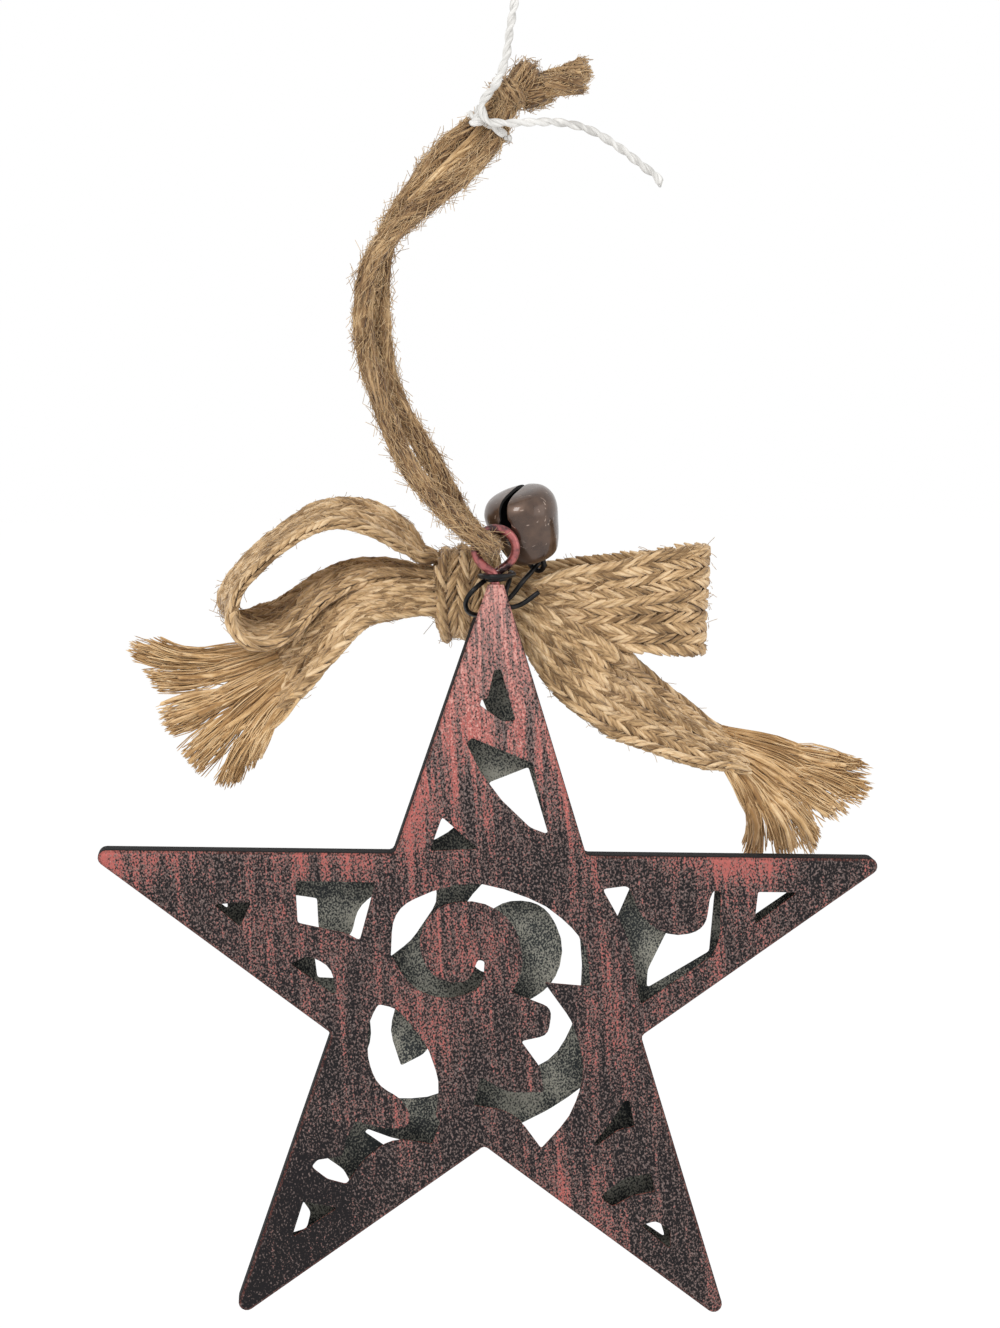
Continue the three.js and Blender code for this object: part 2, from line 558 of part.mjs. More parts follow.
const LEFT_FRAY = [[-41.4, 6.5, -131.6], [-46.9, 6.5, -138.4], [-51.8, 7.0, -136.5],
  [-57.7, 7.5, -128.4], [-59.6, 8.0, -121.2], [-63.1, 8.5, -116.7], [-61.9, 9.0, -112.6]];
const RIGHT_FRAY = [[37.6, 9.8, -150.6], [43.3, 9.6, -150.7], [50.4, 9.4, -150.4],
  [52.6, 9.2, -144.6], [56.4, 9.0, -143.9], [60.6, 9.0, -138.6], [56.4, 9.0, -134.6]];

// Twine hanger: down in front, through the eye, and up behind; the strands cross half-way up
const FRONT_STRAND = [[-2.0, -1.7, -28.9], [-3.2, -1.9, -32.1], [-4.9, -1.9, -34.7],
  [-7.8, -1.9, -38.0], [-12.0, -1.9, -41.5], [-16.6, -1.9, -45.0], [-20.8, -1.9, -49.0],
  [-23.5, -1.9, -53.2], [-24.8, -1.9, -60.0], [-24.4, -1.9, -66.9], [-23.0, -1.9, -71.9],
  [-21.4, -1.9, -76.7], [-19.6, -1.9, -81.5], [-17.2, -1.9, -86.2], [-13.4, -2.1, -90.8],
  [-9.3, -3.0, -95.0], [-6.3, -3.1, -97.2]];
const BACK_STRAND = [[-6.3, 3.1, -97.2], [-8.3, 2.9, -94.6], [-10.6, 2.2, -90.7],
  [-13.5, 1.9, -85.3], [-16.4, 1.9, -80.5], [-19.2, 1.9, -75.6], [-20.9, 1.9, -70.8],
  [-21.7, 1.9, -65.4], [-22.0, 1.9, -58.9], [-21.8, 1.9, -53.7], [-20.9, 1.9, -49.2],
  [-19.1, 1.9, -45.1], [-16.2, 1.9, -40.8], [-13.6, 1.9, -37.1], [-11.0, 1.9, -34.2],
  [-8.6, 1.9, -32.3], [-6.0, 1.9, -30.3], [-4.2, 1.7, -28.9]];

// The twine lies under the inside of the eye's top, with room for the eye to rock on it
function twineRoute() {
  const eye = onStar([0, TIP_TOP + EYE_RISE, 0]);
  const low = eye.z + EYE_RADIUS - (EYE_WIRE + TWINE) / 2 - SWING_GAP;
  const bight = [[-0.9, -1.9, 0.4], [-0.6, 0, 0], [-0.9, 1.9, 0.4]].map(([x, y, z]) =>
    vector([eye.x + x, y, low + z]));
  return [...FRONT_STRAND.map(vector), ...bight, ...BACK_STRAND.map(vector)];
}

function hangerKnot() {
  const ends = [[[5.0, 0.9, -24.0], [8.6, 0.6, -22.9], [11.2, 0.4, -21.7]],
    [[5.0, -1.4, -24.6], [7.8, -1.5, -24.4], [10.6, -1.7, -24.0]]];
  return joined([
    lump([1.1, 0, -23.9], [3.3, 3.0, 2.9]),
    lump([-1.1, -0.4, -26.0], [2.9, 3.1, 2.5]),
    lump([3.2, 0.3, -25.9], [2.9, 3.0, 2.3]),
    ...ends.map((points) => cord(points.map(vector), TWINE, 8, 4)),
  ]);
}

// Cotton thread: line, the tie round both strands of the twine, free tail and top loop
const THREAD_LINE = [[0, 0, -9.0], [-0.4, -1.0, -11.2], [-1.3, -2.6, -16.0], [-2.1, -4.0, -20.8],
  [-3.8, -4.9, -25.0], [-5.9, -4.5, -27.9]];
const THREAD_TAIL = [[-5.2, -5.5, -30.5], [-2.2, -6.5, -31.0], [1.8, -5.2, -30.8],
  [6.7, -3.0, -30.7], [11.6, -2.0, -31.8], [16.5, -1.0, -34.6], [20.7, 0, -37.7],
  [22.8, 0.3, -39.3], [23.2, 0.5, -40.9]];

// The tie is an oval across the strands, which run down to the left side by side
function threadTie() {
  const front = vector(FRONT_STRAND[1]);
  const back = vector(BACK_STRAND.at(-2));
  const centre = front.clone().add(back).divideScalar(2);
  const long = front.clone().sub(back);
  const half = long.length() / 2 + (TWINE + THREAD) / 2 + GAP;
  const short = long.clone().cross(new THREE.Vector3(-0.6, 0, -0.8)).normalize();
  long.normalize();
  const ring = [];
  for (let s = 0; s <= 16; s += 1) {
    const a = (2 * Math.PI * s) / 16;
    ring.push(centre.clone().addScaledVector(long, (half + 0.1) * Math.cos(a))
      .addScaledVector(short, 0.63 * half * Math.sin(a)));
  }
  return joined([
    cord(ring, THREAD, 8, 24),
    lump([-6.4, -3.3, -29.4], [1.3, 1.5, 1.2]),
    lump([-6.5, -3.4, -30.6], [1.1, 1.3, 0.9]),
  ]);
}

function threadLoop() {
  const drop = THREAD_LOOP - THREAD / 2;
  const ring = new THREE.TorusGeometry(THREAD_LOOP, THREAD / 2, 8, 24);
  return joined([
    ring.rotateX(Math.PI / 2).translate(0, 0, -drop),
    lump([0, 0, -drop - THREAD_LOOP - 0.9], [1.2, 1.1, 1.4]),
  ]);
}

function buildStar() {
  const star = new THREE.Group();
  star.position.copy(STAR_PLACE);
  star.rotation.copy(STAR_TURN);
  star.add(piece('front_plate', starTray(1, 0, FRONT_RIM, 0), COPPER_BLACK));
  star.add(piece('back_plate', starTray(-1, SHEET + GAP, BACK_RIM, BACK_TURN), MOTTLED));
  star.add(piece('hanging_eye', hangingEye(), COPPER));
  return star;
}

function buildBell() {
  const bell = new THREE.Group();
  bell.position.copy(vector(BELL_PLACE));
  bell.quaternion.setFromRotationMatrix(bellBasis());
  bell.add(piece('bell_shell', bellShell(), BRONZE));
  bell.add(piece('bell_staple', cord(stapleRoute(), STAPLE_WIRE, 8, 26), BLACK_WIRE));
  const pellet = piece('bell_pellet', new THREE.SphereGeometry(PELLET_RADIUS, 14, 10), STEEL);
  pellet.position.set(0, 0, -PELLET_DROP);
  bell.add(pellet);
  return bell;
}

function buildBow() {
  const bow = new THREE.Group();
  const knot = piece('bow_knot', bowKnot(), JUTE);
  knot.position.copy(vector(KNOT_PLACE));
  bow.add(knot);
  bow.add(piece('bow_loop_left', ribbon(LEFT_LOOP, 44), JUTE));
  bow.add(piece('bow_tail_left', ribbon(LEFT_TAIL, 18), JUTE));
  bow.add(piece('bow_loop_right', ribbon(RIGHT_LOOP, 32), JUTE));
  bow.add(piece('bow_tail_right', ribbon(RIGHT_TAIL, 20), JUTE));
  bow.add(piece('fray_left', fray(LEFT_TAIL, LEFT_FRAY, 1), JUTE));
  bow.add(piece('fray_right', fray(RIGHT_TAIL, RIGHT_FRAY, 200), JUTE));
  return bow;
}

function buildHanger() {
  const hanger = new THREE.Group();
  hanger.add(piece('hanger_cord', cord(twineRoute(), TWINE, 8, 72), TWINE_BROWN));
  hanger.add(piece('hanger_knot', hangerKnot(), TWINE_BROWN));
  hanger.add(piece('thread_line', cord(THREAD_LINE.map(vector), THREAD, 8, 14), COTTON));
  hanger.add(piece('thread_tie', threadTie(), COTTON));
  hanger.add(piece('thread_tail', cord(THREAD_TAIL.map(vector), THREAD, 8, 16), COTTON));
  hanger.add(piece('thread_loop', threadLoop(), COTTON));
  return hanger;
}

const ornament = new THREE.Group();
ornament.name = 'metal_star_ornament';
ornament.add(buildStar());
ornament.add(piece('tie_wire', cord(tieRoute(), TIE_WIRE, 8, 68), BLACK_WIRE));
ornament.add(buildBell());
ornament.add(buildBow());
ornament.add(buildHanger());

console.log(`tie wire least self-gap ${selfGap(tieRoute(), TIE_WIRE).toFixed(2)} mm`);
console.log(`twine least self-gap ${selfGap(twineRoute(), TWINE).toFixed(2)} mm`);

export default ornament;
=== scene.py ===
# %% [markdown]
# # A pierced metal star on twine
# The ornament is a hollow star of two pressed steel trays with scroll and leaf openings. A bent wire
# eye in its top point carries a doubled jute twine, and the twine hangs by a white cotton thread. A flat
# jute braid is tied in a bow behind the eye, and a small bell is wired to the eye's neck.
# The metal keeps its CAD shapes, some of them smoothed. The braid, the twine and the thread are built
# here yarn by yarn, because their look comes from many small rounded strands and not from one surface.

# %% Load the frame and the tools
from bisect import bisect_right
import math
import random

import bmesh
import bpy
from mathutils import Euler, Matrix, Vector


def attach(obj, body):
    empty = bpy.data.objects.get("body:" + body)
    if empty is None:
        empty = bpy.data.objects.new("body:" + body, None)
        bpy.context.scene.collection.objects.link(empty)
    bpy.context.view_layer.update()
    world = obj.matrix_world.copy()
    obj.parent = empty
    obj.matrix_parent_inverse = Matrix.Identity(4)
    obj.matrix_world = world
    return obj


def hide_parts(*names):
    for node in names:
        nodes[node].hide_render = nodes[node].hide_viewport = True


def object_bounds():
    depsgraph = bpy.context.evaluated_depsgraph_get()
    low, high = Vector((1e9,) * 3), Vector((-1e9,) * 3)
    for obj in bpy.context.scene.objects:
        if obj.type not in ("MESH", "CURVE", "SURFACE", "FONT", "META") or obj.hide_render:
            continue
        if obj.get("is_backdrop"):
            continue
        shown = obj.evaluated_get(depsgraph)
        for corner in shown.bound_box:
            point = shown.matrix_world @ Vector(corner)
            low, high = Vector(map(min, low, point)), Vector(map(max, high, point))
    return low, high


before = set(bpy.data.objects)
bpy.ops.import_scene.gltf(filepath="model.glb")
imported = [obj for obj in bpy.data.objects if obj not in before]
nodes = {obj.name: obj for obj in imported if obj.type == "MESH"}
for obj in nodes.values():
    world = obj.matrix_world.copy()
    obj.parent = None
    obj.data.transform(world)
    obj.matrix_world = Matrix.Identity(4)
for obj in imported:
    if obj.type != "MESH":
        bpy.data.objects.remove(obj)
cad_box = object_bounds()
MM = 0.001

# %% [markdown]
# ## Camera, floor and light
# A long lens keeps the star's five points even. The camera stands 600 mm away, 3.5 degrees to the
# left of straight ahead and 5 degrees above the star, so a little of the upper walls shows.

# %% Camera
VIEW_DISTANCE, VIEW_WIDTH = 600 * MM, 162.6 * MM
SENSOR_WIDTH = 36
TARGET = Vector((-2.73, 0, -117.8)) * MM
PITCH, YAW = math.radians(5), math.radians(3.5)
toward = Vector((math.sin(YAW) * math.cos(PITCH), math.cos(YAW) * math.cos(PITCH), -math.sin(PITCH)))
lens = bpy.data.cameras.new("camera")
lens.sensor_fit = "HORIZONTAL"
lens.sensor_width = SENSOR_WIDTH
lens.lens = SENSOR_WIDTH * VIEW_DISTANCE / VIEW_WIDTH
camera = bpy.data.objects.new("camera", lens)
camera.location = TARGET - VIEW_DISTANCE * toward
camera.rotation_euler = toward.to_track_quat("-Z", "Y").to_euler()
bpy.context.scene.collection.objects.link(camera)
bpy.context.scene.camera = camera
bpy.context.scene.view_settings.view_transform = "Standard"
print("lens:", round(lens.lens, 1), "mm")

# %% [markdown]
# Shader maths reads best as plain expressions. `Value` wraps one output socket, and each operator
# adds the Math node that it stands for. `NodeTree` has a single method, `node`, that adds any
# other node, and `Finish` is the tree of one material, with the groups of nodes that most of them use.

# %% A value in a node tree
class Value:
    """One output socket, with arithmetic that adds Math nodes"""

    def __init__(self, owner, socket):
        self.owner = owner
        self.socket = socket

    def math(self, operation, *inputs):
        return self.owner.node("ShaderNodeMath", {"operation": operation}, dict(enumerate(inputs)))

    def __add__(self, other):
        return self.math("ADD", self, other)

    def __sub__(self, other):
        return self.math("SUBTRACT", self, other)

    def __rsub__(self, other):
        return self.math("SUBTRACT", other, self)

    def __mul__(self, other):
        return self.math("MULTIPLY", self, other)

    def __abs__(self):
        return self.math("ABSOLUTE", self)

    __radd__ = __add__
    __rmul__ = __mul__


print("a Math node each for + - * and abs")


# %% A node tree
class NodeTree:
    """The node tree of a material or of the world"""

    def __init__(self, datablock):
        datablock.use_nodes = True
        self.tree = datablock.node_tree

    def node(self, kind, settings=None, inputs=None, output=0):
        """Adds a node, whose settings come first because some of them change its sockets"""
        added = self.tree.nodes.new(kind)
        for name, setting in (settings or {}).items():
            setattr(added, name, setting)
        for name, given in (inputs or {}).items():
            self.feed(given, added.inputs[name])
        return Value(self, added.outputs[output])

    def feed(self, given, socket):
        """Links a value to a socket, or sets a plain number or colour on it"""
        if isinstance(given, Value):
            self.tree.links.new(given.socket, socket)
        else:
            socket.default_value = given

    def seen_directly(self):
        """1 for what the camera or a reflection sees, 0 for what only lights something"""
        seen = ray = self.node("ShaderNodeLightPath")
        for kind in ("Is Glossy Ray", "Is Transmission Ray"):
            seen = seen.math("MAXIMUM", seen, Value(self, ray.socket.node.outputs[kind]))
        return seen


print("methods of a node tree:", *[name for name in vars(NodeTree) if name[0] != "_"])


# %% A material's finish
def paint(red, green, blue):
    """A colour as it looks on a screen, from 0 to 255, turned into the light it stands for"""
    shares = [channel / 255 for channel in (red, green, blue)]
    return (*[s / 12.92 if s < 0.04 else ((s + 0.055) / 1.055) ** 2.4 for s in shares], 1.0)


class Finish(NodeTree):
    """The node tree of one material, with the plain numbers of its shader"""

    def __init__(self, name, plain):
        self.material = bpy.data.materials.new(name)
        super().__init__(self.material)
        self.shader = self.tree.nodes["Principled BSDF"]
        for socket, number in plain.items():
            self.shader.inputs[socket].default_value = number

    def set(self, name, given):
        self.feed(given, self.shader.inputs[name])

    def blend(self, mask, first, second):
        """The first colour where the mask is 0, and the second where it is 1"""
        inputs = {0: mask, 6: first, 7: second}
        return self.node("ShaderNodeMix", {"data_type": "RGBA"}, inputs, output=2)

    def stretch(self, place, x, y, z):
        return self.node("ShaderNodeVectorMath", {"operation": "MULTIPLY"}, {0: place, 1: (x, y, z)})

    def noise(self, place, scale=1.0, detail=2.0, roughness=0.5):
        inputs = {"Vector": place, "Scale": scale, "Detail": detail, "Roughness": roughness}
        return self.node("ShaderNodeTexNoise", {}, inputs)

    def between(self, value, low, high):
        """Runs from 0 where the value is low to 1 where it is high"""
        return self.node("ShaderNodeMapRange", {}, {0: value, 1: low, 2: high})

    def bump(self, height, depth, strength=1.0):
        inputs = {"Strength": strength, "Distance": depth, "Height": height}
        self.set("Normal", self.node("ShaderNodeBump", {}, inputs))


print("a mid grey of 128 gives back a share of", round(paint(128, 128, 128)[0], 3))

# %% [markdown]
# The floor is a wide pale sheet below the star, and the world is an even white. Seen by the camera or
# in a reflection the world is pure white; as a light it is weaker, so that the lamps can shape
# the object. The floor is a mix of white light for the camera and a surface that is lit like anything
# else, so it meets the background without an edge and still keeps the object's shadow.

# %% Floor
FLOOR_LEVEL, FLOOR_REACH = -290 * MM, 4
FLOOR_GLOW, GLOW_SHARE = 1.08, 0.7
lowered = Matrix.Translation((0, 0, FLOOR_LEVEL))
bm = bmesh.new()
bmesh.ops.create_grid(bm, x_segments=1, y_segments=1, size=FLOOR_REACH, matrix=lowered)
floor_mesh = bpy.data.meshes.new("floor")
bm.to_mesh(floor_mesh)
bm.free()
floor = bpy.data.objects.new("floor", floor_mesh)
bpy.context.scene.collection.objects.link(floor)
floor_finish = Finish("floor", {"Roughness": 1.0, "Specular IOR Level": 0.0})
floor_finish.set("Base Color", (0.96, 0.96, 0.96, 1))
seen = floor_finish.seen_directly()
lit = Value(floor_finish, floor_finish.shader.outputs[0])
glow = floor_finish.node("ShaderNodeEmission", {}, {"Strength": FLOOR_GLOW})
mixed = floor_finish.node("ShaderNodeMixShader", {}, {0: seen * GLOW_SHARE, 1: lit, 2: glow})
floor_finish.feed(mixed, floor_finish.tree.nodes["Material Output"].inputs["Surface"])
floor_mesh.materials.append(floor_finish.material)
floor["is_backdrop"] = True
print("floor", round(-FLOOR_LEVEL / MM), "mm below the hang point")

# %% World
WORLD_LIGHT = 0.86
world = bpy.data.worlds.new("studio")
bpy.context.scene.world = world
sky = NodeTree(world)
background = sky.tree.nodes["Background"].inputs
strengths = {"Value": sky.seen_directly(), "To Min": WORLD_LIGHT, "To Max": 1.0}
sky.feed(sky.node("ShaderNodeMapRange", {}, strengths), background["Strength"])
sky.feed((1, 1, 1, 1), background["Color"])
print("world light:", WORLD_LIGHT)

# %% Lamps
LAMPS = {"key": {"place": (-0.45, -0.9, 0.55), "size": 0.35, "power": 5.0},
    "fill": {"place": (0.9, -0.6, 0.1), "size": 0.8, "power": 2.0}}
for name, told in LAMPS.items():
    light = bpy.data.lights.new(name, "AREA")
    light.size, light.energy = told["size"], told["power"]
    lamp = bpy.data.objects.new(name, light)
    lamp.location = told["place"]
    lamp.rotation_euler = (TARGET - lamp.location).to_track_quat("-Z", "Y").to_euler()
    bpy.context.scene.collection.objects.link(lamp)
print("lamps:", *LAMPS)

# %% [markdown]
# ## Lines to build on
# Every soft piece follows a line: the twine its route, a yarn a helix round that route, a ribbon its
# middle line. A smooth curve through a few points gives the line, and a sideways direction that
# is carried along it without spinning gives a steady frame to place rings and yarns in.

# %% Smooth lines
def spline(points, per_span=10):
    """Points of a smooth curve through the given ones, so many to a span"""
    padded = [points[0] * 2 - points[1], *points, points[-1] * 2 - points[-2]]
    curve = []
    for p0, p1, p2, p3 in zip(padded, padded[1:], padded[2:], padded[3:]):
        # The square root of each distance keeps the curve from looping where points stand close
        d0, d1, d2 = [max((b - a).length, 1e-9) ** 0.5 for a, b in ((p0, p1), (p1, p2), (p2, p3))]
        leave = ((p1 - p0) / d0 - (p2 - p0) / (d0 + d1) + (p2 - p1) / d1) * d1
        arrive = ((p2 - p1) / d1 - (p3 - p1) / (d1 + d2) + (p3 - p2) / d2) * d1
        square = 3 * (p2 - p1) - 2 * leave - arrive
        cube = 2 * (p1 - p2) + leave + arrive
        for step in range(per_span):
            u = step / per_span
            curve.append(p1 + leave * u + square * u**2 + cube * u**3)
    curve.append(points[-1].copy())
    return curve


def in_metres(points):
    return [Vector(p) * MM for p in points]


class Route:
    """A line with its length and, at any distance along it, a centre and three directions"""

    # Its width as a share of the flat ribbon's, where a ribbon runs along it
    squeeze = 1.0

    def __init__(self, points, sides=None):
        self.points = points
        self.marks = [0.0]
        for a, b in zip(points, points[1:]):
            self.marks.append(self.marks[-1] + (b - a).length)
        self.length = self.marks[-1]
        self.sides = sides or self.carried()

    def carried(self):
        """Sideways directions that turn no more than the line makes them"""
        side = (self.points[1] - self.points[0]).orthogonal().normalized()
        sides = []
        for before, after in zip([self.points[0]] + self.points, self.points[1:] + [self.points[-1]]):
            along = (after - before).normalized()
            side = (side - along * side.dot(along)).normalized()
            sides.append(side)
        return sides

    def at(self, distance):
        """Centre, forward, sideways (as long as half the width on a ribbon) and upward directions"""
        distance = min(max(distance, 0.0), self.length)
        i = min(bisect_right(self.marks, distance), len(self.marks) - 1) - 1
        share = (distance - self.marks[i]) / max(self.marks[i + 1] - self.marks[i], 1e-12)
        centre = self.points[i].lerp(self.points[i + 1], share)
        low, high = max(i - 1, 0), min(i + 2, len(self.points) - 1)
        back = (self.points[i + 1] - self.points[low]).normalized()
        ahead = (self.points[high] - self.points[i]).normalized()
        forward = back.lerp(ahead, share).normalized()
        side = self.sides[i].lerp(self.sides[i + 1], share)
        half = side.length
        side = (side - forward * side.dot(forward)).normalized()
        return centre, forward, side * half, forward.cross(side)


arc = Route(spline([Vector((math.cos(a), math.sin(a), 0)) for a in (0, 0.5, 1, 1.5)]))
print("an arc that is 1.5 long measures", round(arc.length, 3))

# %% [markdown]
# A yarn is a flat grid rolled into a tube of length and radius 1, once. Every strand is then a copy of
# that tube whose vertices move out along their own route, which is much quicker than rolling each one.
# A vertex keeps the strand's tone and its distance along it, for the finish to read.

# %% A tube to copy
def new_bmesh():
    """An empty bmesh that can keep texture coordinates, a tone and a distance"""
    bm = bmesh.new()
    bm.loops.layers.uv.new("UVMap")
    bm.verts.layers.float.new("tone")
    bm.verts.layers.float.new("along")
    return bm


def unit_tube(steps, sides):
    """A closed tube of length 1 and radius 1 along X, with texture coordinates round and along it"""
    bm = new_bmesh()
    uv = bm.loops.layers.uv.active
    grid = bmesh.ops.create_grid(bm, x_segments=steps, y_segments=sides, size=1)["verts"]
    for vertex in grid:
        share, turn = (vertex.co.x + 1) / 2, (vertex.co.y + 1) / 2
        for loop in vertex.link_loops:
            loop[uv].uv = (turn, share)
        # The first and the last ring shrink to a point, and their neighbours stand close to them
        inner = 1e-4 < share < 1 - 1e-4
        if inner:
            share = 0.02 + 0.96 * (share * steps - 1) / max(steps - 2, 1)
        angle = -2 * math.pi * turn
        vertex.co = (share, math.cos(angle) * inner, math.sin(angle) * inner)
    bmesh.ops.remove_doubles(bm, verts=grid, dist=1e-5)
    tube = bpy.data.meshes.new("unit tube")
    bm.to_mesh(tube)
    bm.free()
    return tube


tube = unit_tube(6, 6)
print("a tube of 6 steps and 6 sides:", len(tube.vertices), "vertices")
bpy.data.meshes.remove(tube)


# %% Strands along their routes
def lay(bm, strands, steps, sides=6):
    """Adds strands, each given as its route, its radius at each share of its length, and its tone"""
    tube = unit_tube(steps, sides)
    count = len(tube.vertices)
    fresh = new_bmesh()
    for _ in strands:
        fresh.from_mesh(tube)
    fresh.verts.ensure_lookup_table()
    tones, alongs = fresh.verts.layers.float["tone"], fresh.verts.layers.float["along"]
    for number, (route, radius, tone) in enumerate(strands):
        for vertex in fresh.verts[number * count:(number + 1) * count]:
            share, across, over = vertex.co
            centre, _, side, up = route.at(share * route.length)
            reach = radius(share) if callable(radius) else radius
            vertex.co = centre + (side.normalized() * across + up * over) * reach
            vertex[tones], vertex[alongs] = tone, share * route.length / MM
    tube.clear_geometry()
    fresh.to_mesh(tube)
    fresh.free()
    bm.from_mesh(tube)
    bpy.data.meshes.remove(tube)


def wound(route, offset, pitch, phase, spacing, wander=0.0, wave=1.0):
    """The route of one ply or fibre that winds round another route, and may wander off its helix"""
    count = max(2, round(route.length / spacing))
    points = []
    for step in range(count + 1):
        distance = route.length * step / count
        centre, _, side, up = route.at(distance)
        turn = 2 * math.pi * distance / pitch
        # The phase times 7 and 3 keeps the waves of neighbouring fibres out of step
        angle = phase + turn + wander * math.sin(wave * distance / MM + phase * 7)
        reach = offset * (1 + 0.35 * wander * math.sin(wave * 1.7 * distance / MM + phase * 3))
        points.append(centre + (side.normalized() * math.cos(angle) + up * math.sin(angle)) * reach)
    return Route(points)


helix = wound(arc, offset=0.1, pitch=0.5, phase=0, spacing=0.01)
print("wound round that arc, three turns measure", round(helix.length, 2))


# %% Pieces that ride on a body
def make_piece(name, bm, body, finish, slot, *replaced):
    """Turns a bmesh into a piece that rides on a body"""
    for face in bm.faces:
        face.smooth = True
    mesh = bpy.data.meshes.new(name)
    bm.to_mesh(mesh)
    bm.free()
    mesh.materials.append(finish.material)
    piece = bpy.data.objects.new(name, mesh)
    bpy.context.scene.collection.objects.link(piece)
    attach(piece, body)
    if replaced:
        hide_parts(*replaced)
    print(f"{name}: {len(mesh.polygons)} faces")
    return piece


print("CAD nodes that pieces may replace:", len(nodes))

# %% [markdown]
# ## Fibre finishes
# Jute is a coarse straw-coloured fibre. Along a yarn run fine light and dark lines, slightly twisted, and
# each yarn has a tone of its own. The dark shade is painted shade of the gaps between fibres and the
# light one a painted highlight, since they fall where the lines sink and rise in the bump, so the lines
# are partly the fibres' own tone and partly painted light. The lines come from noise that is stretched
# along the yarn: its texture coordinate tells the place round the yarn, and an attribute the distance in
# millimetres.

# %% Jute, twine and cotton
def fibre_finish(name, *shades, twist, lines):
    """A finish of three shades, whose lines twist so many turns to a millimetre, so many to a turn"""
    dark, middle, light = [paint(*shade) for shade in shades]
    finish = Finish(name, {"Roughness": 0.85, "Sheen Weight": 0.25, "Specular IOR Level": 0.25})
    around = finish.node("ShaderNodeUVMap", {"uv_map": "UVMap"})
    share = finish.node("ShaderNodeSeparateXYZ", {}, {0: around})
    along = finish.node("ShaderNodeAttribute", {"attribute_name": "along"}, output="Fac")
    tone = finish.node("ShaderNodeAttribute", {"attribute_name": "tone"}, output="Fac")
    turned = share + along * twist
    # The last part gives each strand lines of its own, because strands differ in tone
    place = finish.node("ShaderNodeCombineXYZ", {}, {0: turned * lines, 1: along * 0.35, 2: tone * 37})
    thread = finish.noise(place, 1.0, 3, 0.6)
    cloud = finish.noise(finish.node("ShaderNodeTexCoord", output="Object"), 140, 2)
    # Where the line noise is low the colour runs to the dark shade and where it is high to the light one.
    # The bump sinks and lifts with the same noise, so this is painted shade in the grooves and a painted
    # highlight on the ridges, over each strand's own tone.
    depth = thread + (tone - 0.5) * 0.35 + (cloud - 0.5) * 0.5
    shade = finish.blend(finish.between(depth, 0.28, 0.52), dark, middle)
    finish.set("Base Color", finish.blend(finish.between(depth, 0.5, 0.78), shade, light))
    finish.bump(thread, 0.25 * MM, 0.8)
    return finish


JUTE = fibre_finish("jute", (124, 96, 64), (196, 162, 118), (232, 204, 164), twist=0.12, lines=5)
FRAY = fibre_finish("frayed jute", (158, 120, 76), (206, 168, 118), (236, 206, 162), twist=0.02, lines=3)
TWINE = fibre_finish("twine", (84, 60, 40), (150, 118, 82), (206, 174, 130), twist=0.02, lines=4)
HAIR = fibre_finish("hair", (150, 116, 78), (196, 162, 116), (230, 200, 156), twist=0.0, lines=1)
COTTON = fibre_finish("cotton", (190, 188, 184), (222, 220, 216), (240, 239, 236), twist=0.2, lines=4)
print("fibre finishes:", ", ".join(f.material.name for f in (JUTE, FRAY, TWINE, HAIR, COTTON)))

# %% [markdown]
# ## The twine
# One jute twine, 3.2 mm thick, goes down in front, through the eye and up again behind, and its two
# ends are knotted together. It is so softly spun that its fibres run almost straight along it, so
# it is a bundle of thin strands that wander round one route, and not a rope of clear plies.

# %% Twine route
TWINE_WIDTH = 3.2 * MM
FRONT_STRAND = [(-2.0, -1.7, -28.9), (-3.2, -1.9, -32.1), (-4.9, -1.9, -34.7), (-7.8, -1.9, -38.0),
    (-12.0, -1.9, -41.5), (-16.6, -1.9, -45.0), (-20.8, -1.9, -49.0), (-23.5, -1.9, -53.2),
    (-24.8, -1.9, -60.0), (-24.4, -1.9, -66.9), (-23.0, -1.9, -71.9), (-21.4, -1.9, -76.7),
    (-19.6, -1.9, -81.5), (-17.2, -1.9, -86.2), (-13.4, -2.1, -90.8), (-9.3, -3.0, -95.0),
    (-6.3, -3.1, -97.2)]
ROUND_EYE = [(-4.37, -1.9, -98.27), (-4.07, 0, -98.67), (-4.37, 1.9, -98.27)]
BACK_STRAND = [(-6.3, 3.1, -97.2), (-8.3, 2.9, -94.6), (-10.6, 2.2, -90.7), (-13.5, 1.9, -85.3),
    (-16.4, 1.9, -80.5), (-19.2, 1.9, -75.6), (-20.9, 1.9, -70.8), (-21.7, 1.9, -65.4),
    (-22.0, 1.9, -58.9), (-21.8, 1.9, -53.7), (-20.9, 1.9, -49.2), (-19.1, 1.9, -45.1),
    (-16.2, 1.9, -40.8), (-13.6, 1.9, -37.1), (-11.0, 1.9, -34.2), (-8.6, 1.9, -32.3),
    (-6.0, 1.9, -30.3), (-4.2, 1.7, -28.9)]
INTO_KNOT, OUT_OF_KNOT = (0.3, -0.7, -25.8), (-1.4, 0.7, -26.0)
both_runs = [INTO_KNOT, *FRONT_STRAND, *ROUND_EYE, *BACK_STRAND, OUT_OF_KNOT]
twine_route = Route(spline(in_metres(both_runs)))
print("twine:", round(twine_route.length / MM), "mm")

